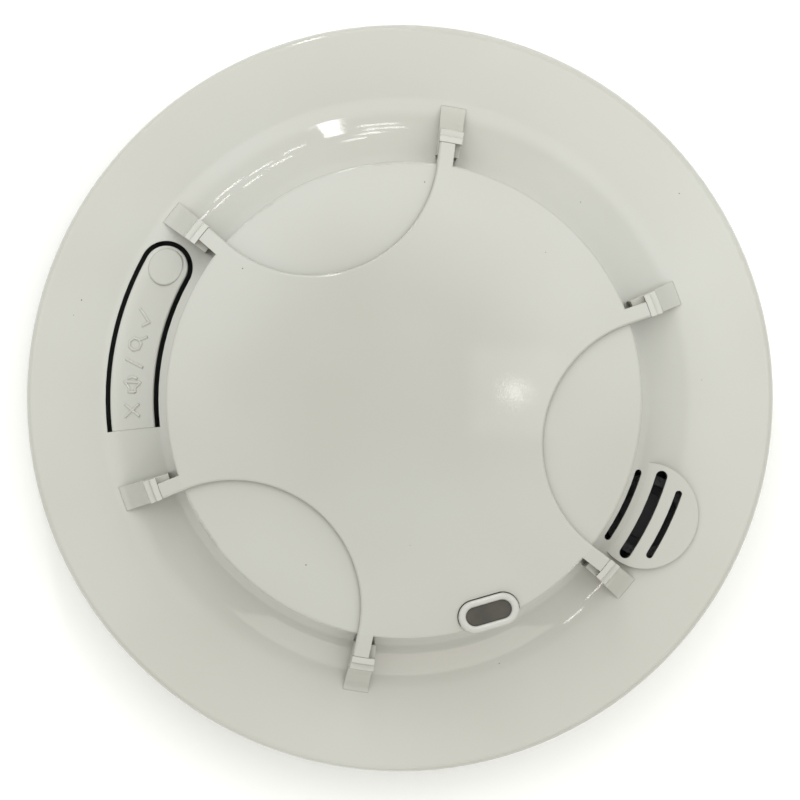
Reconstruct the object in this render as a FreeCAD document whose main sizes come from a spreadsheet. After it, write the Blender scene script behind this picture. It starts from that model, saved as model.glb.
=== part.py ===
import FreeCAD, Part
import math
import os
import re
import Sketcher

# A ceiling smoke alarm with an optical smoke chamber.
# The back of the mounting plate lies on z = 0, the Z axis is the axis of every round part, and +Z
# leaves the face of the alarm. All sizes are millimetres, and all angles are degrees from +X.

SIZES = {
    # cover: side wall, flange and the hollow skirt that climbs to the smoke inlet
    "cover_radius": 60.0,
    "cover_wall": 1.6,
    "cover_bottom": 7.2,
    "edge_round": 1.0,
    "flange_fall": 1.0,
    "skirt_foot_radius": 48.4,
    "skirt_curve": 15.0,
    "skirt_foot_slope": 5.0,
    "skirt_top_slope": 55.0,
    "well_radius": 29.6,
    "well_wall": 1.2,
    "well_bottom": 14.3,
    # cap over the smoke inlet, with its three scalloped fields
    "cap_radius": 37.8,
    "cap_top": 40.0,
    "cap_rise": 2.6,
    "cap_step": 0.9,
    "cap_thickness": 1.5,
    "cap_edge_round": 0.5,
    "plate_edge_round": 0.35,
    "scallop_distance": 42.46,
    "scallop_radius": 20.06,
    "scallop_angle": 110.4,
    "arm_width": 2.5,
    "arm_end": 41.3,
    "arm_drop": 0.7,
    "arm_thickness": 1.6,
    # feet that carry the arms of the cap
    "foot_inner": 39.2,
    "foot_outer": 48.6,
    "foot_inner_width": 3.4,
    "foot_outer_width": 4.2,
    "foot_offset": 30.6,
    "foot_step_length": 1.0,
    "foot_step_drop": 0.8,
    "foot_step_fall": 0.2,
    "nose_round": 0.2,
    "foot_curve": 13.5,
    "seat_gap": 0.05,
    # test button: a tongue of the skirt behind a slot
    "tongue_radius": 43.15,
    "tongue_tip_angle": 150.8,
    "tongue_root_angle": 186.5,
    "tongue_width": 6.95,
    "tongue_slot": 0.75,
    "tongue_edge_round": 0.25,
    "tongue_root_gap": 0.06,
    "pad_radius": 3.0,
    "pad_proud": 0.45,
    "pad_edge_round": 0.3,
    "post_radius": 1.6,
    "post_gap": 0.15,
    # sounder and its outlet
    "sounder_angle": -25.6,
    "sounder_distance": 43.5,
    "boss_radius": 8.55,
    "boss_rise": 2.1,
    "boss_tilt": 12.0,
    "outlet_width": 1.1,
    "outlet_middle_width": 1.9,
    "outlet_inner_step": 3.9,
    "outlet_outer_step": 3.55,
    "outlet_inner_half": 8.2,
    "outlet_middle_half": 8.9,
    "outlet_outer_half": 6.6,
    "sounder_radius": 6.6,
    "sounder_height": 8.2,
    "sounder_wall": 0.8,
    "disc_radius": 5.4,
    "disc_thickness": 0.3,
    "gasket_wall": 1.4,
    # lamp window
    "lamp_distance": 36.2,
    "lamp_angle": -68.5,
    "lamp_turn": 16.0,
    "bezel_end_wall": 1.25,
    "bezel_side_wall": 1.125,
    "window_length": 7.3,
    "window_width": 2.9,
    "bezel_drop": 1.3,
    "bezel_edge_round": 0.45,
    "window_sink": 0.5,
    "window_thickness": 1.4,
    "lamp_gap": 0.15,
    "guide_radius": 1.25,
    "led_radius": 1.5,
    "led_height": 4.3,
    # rear housing
    "rim_bottom": 0.8,
    "rim_wall": 2.2,
    "parting_gap": 0.4,
    "floor_bottom": 4.8,
    "floor_thickness": 1.6,
    "upstand_top": 16.0,
    "upstand_wall": 1.6,
    "nest_gap": 0.2,
    # mounting plate and bayonet
    "plate_radius": 54.0,
    "plate_floor": 2.2,
    "plate_rim_top": 4.2,
    "plate_rim_wall": 2.0,
    "tab_angle": 35.0,
    "tab_arc": 16.0,
    "tab_reach": 3.2,
    "tab_bottom": 2.7,
    "lug_bottom": 0.9,
    "lug_top": 2.4,
    "bayonet_gap": 0.4,
    "stop_arc": 3.0,
    "screw_slot_spacing": 60.0,
    "screw_slot_width": 4.6,
    "screw_slot_length": 9.0,
    "plate_hub_radius": 12.0,
    # circuit board and what stands on it
    "board_radius": 51.0,
    "board_bottom": 12.0,
    "board_thickness": 1.6,
    "board_screw_radius": 44.0,
    "board_screw_bore": 1.1,
    "board_post_radius": 2.8,
    "board_hole_radius": 1.5,
    "case_screw_distance": 52.4,
    "case_post_radius": 2.7,
    "case_post_bottom": 9.3,
    "screw_head_radius": 2.2,
    "screw_head_height": 1.5,
    "screw_radius": 1.1,
    "screw_length": 6.0,
    "chip_length": 9.9,
    "chip_width": 6.0,
    "chip_height": 1.75,
    "capacitor_radius": 4.0,
    "capacitor_height": 8.0,
    "coil_radius": 4.2,
    "coil_height": 5.5,
    "switch_side": 6.0,
    "switch_height": 3.5,
    "plunger_radius": 1.7,
    "plunger_gap": 0.1,
    "plunger_top": 18.5,
    # lithium cell in its bay
    "cell_radius": 7.75,
    "cell_length": 25.8,
    "cell_nub_radius": 3.2,
    "cell_nub_length": 1.2,
    "cell_gap": 0.45,
    "cell_side_gap": 0.4,
    "cell_headroom": 0.3,
    "cell_angle": 58.0,
    "cell_bottom": 6.6,
    "spring_room": 6.6,
    "bay_wall": 1.2,
    "bay_top": 11.6,
    "lid_gap": 0.25,
    "lid_thickness": 1.5,
    "contact_thickness": 0.4,
    "contact_width": 8.0,
    "spring_wire": 0.35,
    "spring_radius": 3.4,
    "spring_turns": 3.0,
    # optical smoke chamber
    "chamber_radius": 25.5,
    "chamber_flange_radius": 29.2,
    "chamber_flange": 1.8,
    "chamber_base_top": 22.0,
    "chamber_lid_top": 34.4,
    "chamber_lid": 1.2,
    "chamber_core_radius": 12.0,
    "chamber_core_floor": 17.0,
    "vane_count": 14.0,
    "vane_length": 9.0,
    "vane_width": 1.0,
    "vane_distance": 19.5,
    "vane_turn": 38.0,
    "mesh_gap": 0.25,
    "mesh_thickness": 0.3,
    "emitter_angle": 200.0,
    "receiver_angle": 325.0,
    "optic_radius": 2.5,
    "optic_length": 8.0,
    "optic_height": 19.2,
    "optic_distance": 14.5,
    "optic_gap": 0.15,
}

V = FreeCAD.Vector

LENS_COUNT = 3
BAYONET_COUNT = 3
BOARD_SCREW_ANGLES = (5.0, 122.0, 246.0)
CASE_SCREW_ANGLES = (110.0, 215.0, 305.0)
CHIP_LEADS_PER_SIDE = 8
LEAD_PITCH = 1.1
LEAD_SIZE = (0.45, 1.3, 0.5)

# Sizes that follow from others, as expressions.
SKIRT_CENTRE_RADIUS = "(skirt_foot_radius + skirt_curve*sin(skirt_foot_slope))"
FLANGE_HEIGHT = "(cell_bottom + 2*cell_radius + cell_headroom + cover_wall)"
FLANGE_EDGE_HEIGHT = f"({FLANGE_HEIGHT} - flange_fall)"
BOSS_HEIGHT = f"({FLANGE_HEIGHT} + boss_rise)"
SKIRT_CENTRE_HEIGHT = f"({FLANGE_HEIGHT} + skirt_curve*cos(skirt_foot_slope))"
SKIRT_TOP_RADIUS = f"({SKIRT_CENTRE_RADIUS} - skirt_curve*sin(skirt_top_slope))"
SHELF_HEIGHT = f"({SKIRT_CENTRE_HEIGHT} - skirt_curve*cos(skirt_top_slope))"
CAP_RIM_TOP = "(cap_top - cap_rise)"
ARM_TOP = f"({CAP_RIM_TOP} - arm_drop)"
SEAT_HEIGHT = f"({ARM_TOP} - arm_thickness - seat_gap)"
CAP_UNDERSIDE = f"({CAP_RIM_TOP} - cap_step - cap_thickness)"
BOARD_TOP = "(board_bottom + board_thickness)"
FLOOR_TOP = "(floor_bottom + floor_thickness)"
CELL_HEIGHT = "(cell_bottom + cell_radius)"
CELL_DISTANCE = "(well_radius + well_wall + cell_gap + cell_radius)"
BAY_LENGTH = "(cell_length + spring_room)"
BAY_WIDTH = "(2*cell_radius + 2*cell_side_gap)"
BEZEL_TOP = "(cap_top - bezel_drop)"
BEZEL_LENGTH = "(window_length + 2*bezel_end_wall)"
BEZEL_WIDTH = "(window_width + 2*bezel_side_wall)"
RIM_TOP = "(cover_bottom - parting_gap)"
TALL = "60"

doc = FreeCAD.newDocument("smoke_alarm")
sheet = doc.addObject("Spreadsheet::Sheet", "Dims")


def fill_sheet():
    """Write every driving size to its own aliased cell."""
    for row, (name, size) in enumerate(SIZES.items(), start=1):
        sheet.set(f"A{row}", name)
        sheet.set(f"B{row}", str(size))
        sheet.setAlias(f"B{row}", name)
    doc.recompute()


def bound(expression):
    """Point each size named in an expression at its cell."""
    def cell(match):
        word = match.group()
        return f"Dims.{word}" if word in SIZES else word
    return re.sub(r"[a-z]\w*", cell, str(expression))


def value(expression):
    """The number that an expression has now."""
    return float(doc.evaluator.evalExpression(bound(expression)))


def bind(thing, prop, expression):
    thing.setExpression(prop, bound(expression))


def polar(distance, angle):
    """X and Y of a point at a distance and an angle from the Z axis."""
    return f"({distance})*cos({angle})", f"({distance})*sin({angle})"


def placement(at, turn=("0", "0", "0")):
    """Placement expression from a position and yaw, pitch and roll."""
    where = "; ".join(at)
    how = "; ".join(turn)
    return f"create(<<placement>>; create(<<vector>>; {where}); create(<<rotation>>; {how}))"


def place(thing, at, turn=("0", "0", "0")):
    bind(thing, "Placement", placement(at, turn))
    return thing


def cylinder(name, radius, height, at=("0", "0", "0"), turn=("0", "0", "0"), sector="360"):
    solid = doc.addObject("Part::Cylinder", name)
    bind(solid, "Radius", radius)
    bind(solid, "Height", height)
    bind(solid, "Angle", sector)
    return place(solid, at, turn)


def block(name, length, width, height, at=("0", "0", "0"), turn=("0", "0", "0")):
    """Box centred in its length and width, with its underside at the given position."""
    solid = doc.addObject("Part::Box", name)
    bind(solid, "Length", length)
    bind(solid, "Width", width)
    bind(solid, "Height", height)
    corner = placement((f"-({length})/2", f"-({width})/2", "0"))
    bind(solid, "Placement", f"{placement(at, turn)} * {corner}")
    return solid


def fuse(name, pieces):
    joined = doc.addObject("Part::MultiFuse", name)
    joined.Shapes = pieces
    return joined


def cut(name, base, tools):
    """Base less every tool."""
    tool = tools[0] if len(tools) == 1 else fuse(f"{name}_tools", tools)
    less = doc.addObject("Part::Cut", name)
    less.Base = base
    less.Tool = tool
    return less


def common(name, first, second):
    shared = doc.addObject("Part::Common", name)
    shared.Base = first
    shared.Tool = second
    return shared


def group(name, pieces):
    together = doc.addObject("Part::Compound", name)
    together.Links = pieces
    return together


def origin_plane(body, role):
    return next(item for item in body.Origin.OriginFeatures if item.Role == role)


def arc_between(start, end, radius):
    """Short arc from start to end; a positive radius turns left, a negative one right."""
    chord = end - start
    left = V(-chord.y, chord.x, 0).normalize()
    rise = math.sqrt(max(radius * radius - chord.Length ** 2 / 4, 0.0))
    centre = (start + end) / 2 + left * math.copysign(rise, radius)
    circle = Part.Circle(centre, V(0, 0, 1), abs(radius))
    first, last = (start, end) if radius > 0 else (end, start)
    return Part.ArcOfCircle(circle, circle.parameter(first), circle.parameter(last))


def outline(body, name, role, corners):
    """Closed outline, each corner bound to the sheet.

    A corner is (across, up) or (across, up, radius); the radius bends the side that leaves it.
    """
    sketch = body.newObject("Sketcher::SketchObject", name)
    sketch.AttachmentSupport = (origin_plane(body, role), [""])
    sketch.MapMode = "FlatFace"
    points = [V(value(corner[0]), value(corner[1]), 0) for corner in corners]
    ends = []
    for index, corner in enumerate(corners):
        start = points[index]
        end = points[(index + 1) % len(points)]
        bend = value(corner[2]) if len(corner) > 2 else 0.0
        if bend:
            side = sketch.addGeometry(arc_between(start, end, bend), False)
        else:
            side = sketch.addGeometry(Part.LineSegment(start, end), False)
        ends.append((side, 2, 1) if bend < 0 else (side, 1, 2))
    for index, corner in enumerate(corners):
        side, leaving, arriving = ends[index]
        following, next_leaving, _ = ends[(index + 1) % len(ends)]
        sketch.addConstraint(
            Sketcher.Constraint("Coincident", side, arriving, following, next_leaving))
        for kind, distance, size in (("DistanceX", points[index].x, corner[0]),
                                     ("DistanceY", points[index].y, corner[1])):
            number = sketch.addConstraint(
                Sketcher.Constraint(kind, -1, 1, side, leaving, distance))
            bind(sketch, f"Constraints[{number}]", size)
        if len(corner) > 2:
            number = sketch.addConstraint(
                Sketcher.Constraint("Radius", side, abs(value(corner[2]))))
            bind(sketch, f"Constraints[{number}]", f"abs({corner[2]})")
    return sketch


def turned(name, corners, at=("0", "0", "0"), turn=("0", "0", "0")):
    """Body turned about Z from an outline of (radius, height) corners."""
    body = doc.addObject("PartDesign::Body", name)
    profile = outline(body, f"{name}_profile", "XZ_Plane", corners)
    doc.recompute()
    spun = body.newObject("PartDesign::Revolution", f"{name}_turn")
    spun.Profile = profile
    spun.ReferenceAxis = (profile, ["V_Axis"])
    spun.Angle = 360.0
    profile.Visibility = False
    return place(body, at, turn)


def raised(name, corners, height, at=("0", "0", "0"), turn=("0", "0", "0")):
    """Body padded up from an outline of (x, y) corners."""
    body = doc.addObject("PartDesign::Body", name)
    profile = outline(body, f"{name}_plan", "XY_Plane", corners)
    doc.recompute()
    pad = body.newObject("PartDesign::Pad", f"{name}_pad")
    pad.Profile = profile
    bind(pad, "Length", height)
    profile.Visibility = False
    return place(body, at, turn)


def ring_sector(name, inner, outer, start, sweep, bottom, top):
    """Prism between two radii, from one angle over a sweep."""
    height = f"({top}) - ({bottom})"
    at = ("0", "0", bottom)
    turn = (start, "0", "0")
    whole = cylinder(f"{name}_outer", outer, height, at, turn, sweep)
    hollow = cylinder(f"{name}_inner", inner, height, at)
    return cut(name, whole, [hollow])


def pill(name, length, width, bottom, top):
    """Upright stadium prism at the lamp, turned with it."""
    x, y = polar("lamp_distance", "lamp_angle")
    reach = f"(({length}) - ({width}))/2"
    height = f"({top}) - ({bottom})"
    middle = block(f"{name}_middle", f"({length}) - ({width})", width, height,
                   (x, y, bottom), ("lamp_turn", "0", "0"))
    ends = []
    for sign in ("1", "-1"):
        end_x = f"{x} + {sign}*{reach}*cos(lamp_turn)"
        end_y = f"{y} + {sign}*{reach}*sin(lamp_turn)"
        ends.append(cylinder(f"{name}_end", f"({width})/2", height, (end_x, end_y, bottom)))
    return fuse(name, [middle] + ends)


def rounded(name, thing, size, wanted):
    """Copy of a form with a fillet on each edge that a test picks out."""
    doc.recompute()
    fillet = doc.addObject("Part::Fillet", name)
    fillet.Base = thing
    radius = value(size)
    fillet.Edges = [(number, radius, radius)
                    for number, edge in enumerate(thing.Shape.Edges, start=1)
                    if not edge.Degenerated and wanted(edge)]
    return fillet


def node(thing, name):
    """Mark a sub-part: its label names its file."""
    thing.Label = name
    return thing


def skirt_height(radius, depth="0"):
    """Height of the skirt at a radius, or of a layer at a depth below its surface."""
    reach = f"(skirt_curve + {depth})"
    return f"({SKIRT_CENTRE_HEIGHT} - sqrt({reach}^2 - ({SKIRT_CENTRE_RADIUS} - {radius})^2))"


def skirt_slope(radius):
    return f"(asin(({SKIRT_CENTRE_RADIUS} - {radius})/skirt_curve)/1deg)"


def lies_on_skirt(edge):
    """Whether an edge runs over the skirt, clear of the circles at its foot and its top."""
    centre = V(value(SKIRT_CENTRE_RADIUS), value(SKIRT_CENTRE_HEIGHT), 0)
    low = value(SKIRT_TOP_RADIUS) + 0.5
    high = value("skirt_foot_radius") - 0.5
    for point in edge.discretize(5):
        radius = math.hypot(point.x, point.y)
        reach = V(radius, point.z, 0).distanceToPoint(centre)
        if not low < radius < high or abs(reach - value("skirt_curve")) > 0.01:
            return False
    return True


def lens_angle(index):
    return f"(scallop_angle + {index * 360 / LENS_COUNT})"


def cover_shell(name):
    """Wall of the cover: side, rounded edge, flange, hollow skirt, shelf and smoke well."""
    inner = "(skirt_curve + cover_wall)"
    foot_inner_radius = f"{SKIRT_CENTRE_RADIUS} - {inner}*sin(skirt_foot_slope)"
    foot_inner_height = f"{SKIRT_CENTRE_HEIGHT} - {inner}*cos(skirt_foot_slope)"
    top_inner_radius = (f"({SKIRT_CENTRE_RADIUS} - sqrt({inner}^2"
                        f" - ({SKIRT_CENTRE_HEIGHT} - {SHELF_HEIGHT} + cover_wall)^2))")
    return turned(name, [
        ("cover_radius", "cover_bottom"),
        ("cover_radius", f"{FLANGE_EDGE_HEIGHT} - edge_round", "edge_round"),
        ("cover_radius - edge_round", FLANGE_EDGE_HEIGHT),
        ("skirt_foot_radius", FLANGE_HEIGHT, "-skirt_curve"),
        (SKIRT_TOP_RADIUS, SHELF_HEIGHT),
        ("well_radius", SHELF_HEIGHT),
        ("well_radius", "well_bottom"),
        ("well_radius + well_wall", "well_bottom"),
        ("well_radius + well_wall", f"{SHELF_HEIGHT} - cover_wall"),
        (top_inner_radius, f"{SHELF_HEIGHT} - cover_wall", inner),
        (foot_inner_radius, foot_inner_height),
        ("cover_radius - cover_wall", f"{FLANGE_EDGE_HEIGHT} - cover_wall"),
        ("cover_radius - cover_wall", "cover_bottom"),
    ])


def foot_solids():
    """Six feet on the skirt: a seat for the cap's arm, two small steps and a hollow front."""
    start = "(arm_end + seat_gap)"
    nose = f"({start} + foot_step_length)"
    front = f"({start} + 2*foot_step_length)"
    low_tread = f"{ARM_TOP} - foot_step_fall - foot_step_drop"
    middle_layer = "cover_wall/2"
    form = turned("foot_form", [
        ("foot_inner", skirt_height("foot_inner", middle_layer)),
        ("foot_inner", SEAT_HEIGHT),
        (start, SEAT_HEIGHT),
        (start, ARM_TOP),
        (f"{nose} - nose_round", f"{ARM_TOP} - foot_step_fall", "-nose_round"),
        (nose, f"{ARM_TOP} - foot_step_fall - nose_round"),
        (nose, low_tread),
        (f"{front} - nose_round", f"{low_tread} - foot_step_fall", "-nose_round"),
        (front, f"{low_tread} - foot_step_fall - nose_round"),
        (front, f"{low_tread} - foot_step_fall - foot_step_drop", "foot_curve"),
        ("foot_outer", skirt_height("foot_outer", middle_layer),
         f"-(skirt_curve + {middle_layer})"),
    ])
    plans = []
    for index in range(LENS_COUNT):
        for side in (-1, 1):
            plans.append(raised("foot_plan", [
                ("foot_inner - 0.5", "-foot_inner_width/2"),
                ("foot_outer + 0.5", "-foot_outer_width/2"),
                ("foot_outer + 0.5", "foot_outer_width/2"),
                ("foot_inner - 0.5", "foot_inner_width/2"),
            ], TALL, turn=(f"{lens_angle(index)} + {side}*foot_offset", "0", "0")))
    return common("feet", form, group("foot_plans", plans))


def tilted_block(name, drop):
    """Everything under the sloping top of the sounder boss, lowered by a drop."""
    x, y = polar("sounder_distance", "sounder_angle")
    size = "4*boss_radius"
    lean_x = f"{x} - ({size})*sin(boss_tilt)*cos(sounder_angle)"
    lean_y = f"{y} - ({size})*sin(boss_tilt)*sin(sounder_angle)"
    low = f"{BOSS_HEIGHT} - ({drop})/cos(boss_tilt) - ({size})*cos(boss_tilt)"
    return block(name, size, size, size, (lean_x, lean_y, low), ("sounder_angle", "boss_tilt", "0"))


def sounder_boss():
    x, y = polar("sounder_distance", "sounder_angle")
    column = cylinder("boss_column", "boss_radius", TALL, (x, y, "cover_bottom + 12"))
    return common("boss", column, tilted_block("boss_top", "0"))


def sounder_hollow():
    x, y = polar("sounder_distance", "sounder_angle")
    column = cylinder("boss_hollow_column", "boss_radius - cover_wall", TALL,
                      (x, y, "cover_bottom"))
    return common("boss_hollow", column, tilted_block("boss_under", "cover_wall"))


def sound_outlets():
    """Three arc slots about the Z axis, the middle one wider and longer."""
    rows = (
        ("inner", "(sounder_distance - outlet_inner_step)", "outlet_width"),
        ("middle", "sounder_distance", "outlet_middle_width"),
        ("outer", "(sounder_distance + outlet_outer_step)", "outlet_width"),
    )
    slots = []
    for row, radius, width in rows:
        name = f"outlet_{row}"
        slots.append(ring_sector(name, f"{radius} - {width}/2", f"{radius} + {width}/2",
                                 f"sounder_angle - {name}_half", f"2*{name}_half",
                                 "well_bottom", TALL))
        for side in (-1, 1):
            x, y = polar(radius, f"sounder_angle + {side}*{name}_half")
            slots.append(cylinder(f"{name}_end", f"{width}/2", TALL, (x, y, "well_bottom")))
    return slots


def tongue_plan(name, margin, root_gap):
    """Plan of the tongue grown by a margin, stopping short of its root by a gap."""
    inner = f"tongue_radius - tongue_width/2 - {margin}"
    outer = f"tongue_radius + tongue_width/2 + {margin}"
    sweep = (f"tongue_root_angle - tongue_tip_angle"
             f" - ({root_gap})/tongue_radius*180/pi")
    strip = ring_sector(f"{name}_strip", inner, outer, "tongue_tip_angle", sweep,
                        "well_bottom + 2", TALL)
    x, y = polar("tongue_radius", "tongue_tip_angle")
    tip = cylinder(f"{name}_tip", f"tongue_width/2 + {margin}", f"{TALL} - (well_bottom + 2)",
                   (x, y, "well_bottom + 2"))
    return fuse(name, [strip, tip])


def case_posts():
    """Posts under the flange that take the case screws from the back."""
    posts = []
    bores = []
    for angle in CASE_SCREW_ANGLES:
        x, y = polar("case_screw_distance", angle)
        top = f"{FLANGE_EDGE_HEIGHT} - cover_wall/2"
        posts.append(cylinder("case_post", "case_post_radius", f"{top} - case_post_bottom",
                              (x, y, "case_post_bottom")))
        bores.append(cylinder("case_bore", "screw_radius", "screw_length + 1",
                              (x, y, "case_post_bottom - 0.5")))
    return posts, bores


def front_cover(shell):
    """Cover with its sounder boss and screw posts, opened for tongue, sound and lamp."""
    posts, bores = case_posts()
    solid = fuse("cover_solid", [shell, sounder_boss()] + posts)
    lamp_x, lamp_y = polar("lamp_distance", "lamp_angle")
    lamp_hole = cylinder("lamp_hole", "guide_radius + lamp_gap", TALL,
                         (lamp_x, lamp_y, "well_bottom"))
    openings = [tongue_plan("tongue_opening", "tongue_slot", "0"), sounder_hollow(), lamp_hole]
    return node(cut("cover", solid, openings + bores + sound_outlets()), "front_cover")


def cap_feet(cover):
    """Six feet that stand on the skirt and carry the cap's arms."""
    return node(cut("feet_on_skirt", foot_solids(), [cover]), "cap_feet")


def test_button(shell):
    """Tongue of the cover wall with a round finger pad and a post over the switch."""
    blade = common("tongue_blade", shell, tongue_plan("tongue_plan", "0", "tongue_root_gap"))
    root = value("(tongue_root_angle - tongue_root_gap/tongue_radius*180/pi)*pi/180")
    root_side = V(-math.sin(root), math.cos(root), 0)

    def is_free_edge(edge):
        at_root = all(abs(point.dot(root_side)) < 0.01 for point in edge.discretize(5))
        return lies_on_skirt(edge) and not at_root

    eased = rounded("tongue_eased", blade, "tongue_edge_round", is_free_edge)
    slope = skirt_slope("tongue_radius")
    x, y = polar("tongue_radius", "tongue_tip_angle")
    surface = skirt_height("tongue_radius")
    sink = "cover_wall/2"
    pad_x, pad_y = polar(f"tongue_radius - {sink}*sin({slope})", "tongue_tip_angle")
    disc = cylinder("finger_disc", "pad_radius", f"{sink} + pad_proud",
                    (pad_x, pad_y, f"{surface} - {sink}*cos({slope})"),
                    ("tongue_tip_angle", slope, "0"))
    pad = rounded("finger_pad", disc, "pad_edge_round",
                  lambda edge: edge.Curve.TypeId == "Part::GeomCircle"
                  and edge.Curve.Center.z > value(surface))
    post_bottom = "plunger_top + post_gap"
    post = cylinder("button_post", "post_radius",
                    f"{surface} - cover_wall/2 - ({post_bottom})", (x, y, post_bottom))
    return node(fuse("tongue", [eased, pad, post]), "test_button")


def dome_radius():
    return "((cap_radius^2 + cap_rise^2)/(2*cap_rise))"


def cap_low_dome():
    """Full disc of the cap at the level of the scalloped fields, with a rounded rim."""
    rim_top = f"{CAP_RIM_TOP} - cap_step"
    return turned("cap_low", [
        ("0", "cap_top - cap_step", f"-{dome_radius()}"),
        ("cap_radius - cap_edge_round", rim_top, "-cap_edge_round"),
        ("cap_radius", f"{rim_top} - cap_edge_round"),
        ("cap_radius", CAP_UNDERSIDE),
        ("cap_radius - 1.5", CAP_UNDERSIDE, dome_radius()),
        ("0", "cap_top - cap_step - cap_thickness"),
    ])


def cap_high_dome():
    """Raised field of the cap and its arms, before it is cut to its plan."""
    return turned("cap_high", [
        ("0", "cap_top", f"-{dome_radius()}"),
        ("cap_radius", CAP_RIM_TOP),
        ("arm_end", ARM_TOP),
        ("arm_end", f"{ARM_TOP} - arm_thickness"),
        ("cap_radius - 1", f"{ARM_TOP} - arm_thickness"),
        ("cap_radius - 1.2", f"{CAP_RIM_TOP} - cap_step - 0.3", dome_radius()),
        ("0", "cap_top - cap_step - 0.3"),
    ])


def scallop_corner():
    """Angle from the middle of a scallop to its corner on the rim."""
    return ("(acos((cap_radius^2 + scallop_distance^2 - scallop_radius^2)"
            "/(2*cap_radius*scallop_distance))/1deg)")


def cap_plan():
    """Round plan with three scallops taken out and six arms added.

    One edge of each arm carries on from the corner of its scallop.
    """
    disc = cylinder("cap_disc", "cap_radius", TALL)
    scallops = []
    arms = []
    for index in range(LENS_COUNT):
        x, y = polar("scallop_distance", lens_angle(index))
        scallops.append(cylinder("scallop", "scallop_radius", TALL, (x, y, "0")))
        for side in (-1, 1):
            turn = f"({lens_angle(index)} + {side}*{scallop_corner()})"
            arm_length = "(arm_end - cap_radius + 2)"
            along_x, along_y = polar(f"arm_end + 0.5 - {arm_length}/2", turn)
            arm_x = f"{along_x} - {side}*arm_width/2*sin({turn})"
            arm_y = f"{along_y} + {side}*arm_width/2*cos({turn})"
            arms.append(block("arm", arm_length, "arm_width", TALL, (arm_x, arm_y, "0"),
                              (turn, "0", "0")))
    return fuse("cap_outline", [cut("cap_scalloped", disc, scallops)] + arms)


def top_edges(solid):
    """Long edges round the raised field: they lie on its dome, and none is the root of an arm."""
    radius = value(dome_radius())
    centre = V(0, 0, value("cap_top") - radius)
    chosen = []
    for number, edge in enumerate(solid.Shape.Edges, start=1):
        if edge.Degenerated or edge.Length < 1.2 * value("arm_width"):
            continue
        if all(abs(point.distanceToPoint(centre) - radius) < 0.01 for point in edge.discretize(5)):
            chosen.append(number)
    return chosen


def smoke_cap():
    """Domed cap on six arms, notched for the lamp bezel."""
    plate = common("cap_plate", cap_plan(), cap_high_dome())
    doc.recompute()
    rounded = doc.addObject("Part::Fillet", "cap_plate_round")
    rounded.Base = plate
    size = value("plate_edge_round")
    rounded.Edges = [(number, size, size) for number in top_edges(plate)]
    notch = pill("cap_notch", f"{BEZEL_LENGTH} + 2*lamp_gap", f"{BEZEL_WIDTH} + 2*lamp_gap",
                 "0", TALL)
    whole = fuse("cap_whole", [rounded, cap_low_dome()])
    return node(cut("cap", whole, [notch]), "smoke_cap")


def lamp_bezel():
    """Oval collar that stands on the shelf and comes up through the cap's notch."""
    bottom = f"{SHELF_HEIGHT} + seat_gap"
    collar = pill("bezel_outer", BEZEL_LENGTH, BEZEL_WIDTH, bottom, BEZEL_TOP)
    hole = pill("bezel_hole", "window_length + 0.1", "window_width + 0.1", "0", TALL)
    ring = cut("bezel_ring", collar, [hole])
    top = value(BEZEL_TOP)

    def is_top_edge(edge):
        return all(abs(point.z - top) < 0.01 for point in edge.discretize(5))

    return node(rounded("bezel", ring, "bezel_edge_round", is_top_edge), "lamp_bezel")


def lamp_window():
    top = f"{BEZEL_TOP} - window_sink"
    return node(pill("window", "window_length", "window_width", f"{top} - window_thickness", top),
                "lamp_window")


def light_guide():
    """Clear rod from the lamp to the back of the window, with a flared head."""
    x, y = polar("lamp_distance", "lamp_angle")
    head_top = f"({BEZEL_TOP} - window_sink - window_thickness - seat_gap)"
    foot = f"({BOARD_TOP} + led_height + 0.3)"
    return node(turned("guide", [
        ("0", foot),
        ("guide_radius", foot),
        ("guide_radius", f"{head_top} - 1.5"),
        ("guide_radius + 0.1", f"{head_top} - 0.6"),
        ("guide_radius + 0.1", head_top),
        ("0", head_top),
    ], (x, y, "0")), "light_guide")


def indicator_led():
    x, y = polar("lamp_distance", "lamp_angle")
    barrel_top = f"{BOARD_TOP} + led_height - led_radius"
    return node(turned("led", [
        ("0", BOARD_TOP),
        ("led_radius + 0.25", BOARD_TOP),
        ("led_radius + 0.25", f"{BOARD_TOP} + 0.8"),
        ("led_radius", f"{BOARD_TOP} + 0.8"),
        ("led_radius", barrel_top, "led_radius"),
        ("0", f"{barrel_top} + led_radius"),
    ], (x, y, "0")), "indicator_led")


def bay_frame(name, length, width, bottom, height):
    """Rectangle round the cell, long side along the cell's axis."""
    x, y = polar(CELL_DISTANCE, "cell_angle")
    return block(name, width, length, height, (x, y, bottom), ("cell_angle", "0", "0"))


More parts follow.
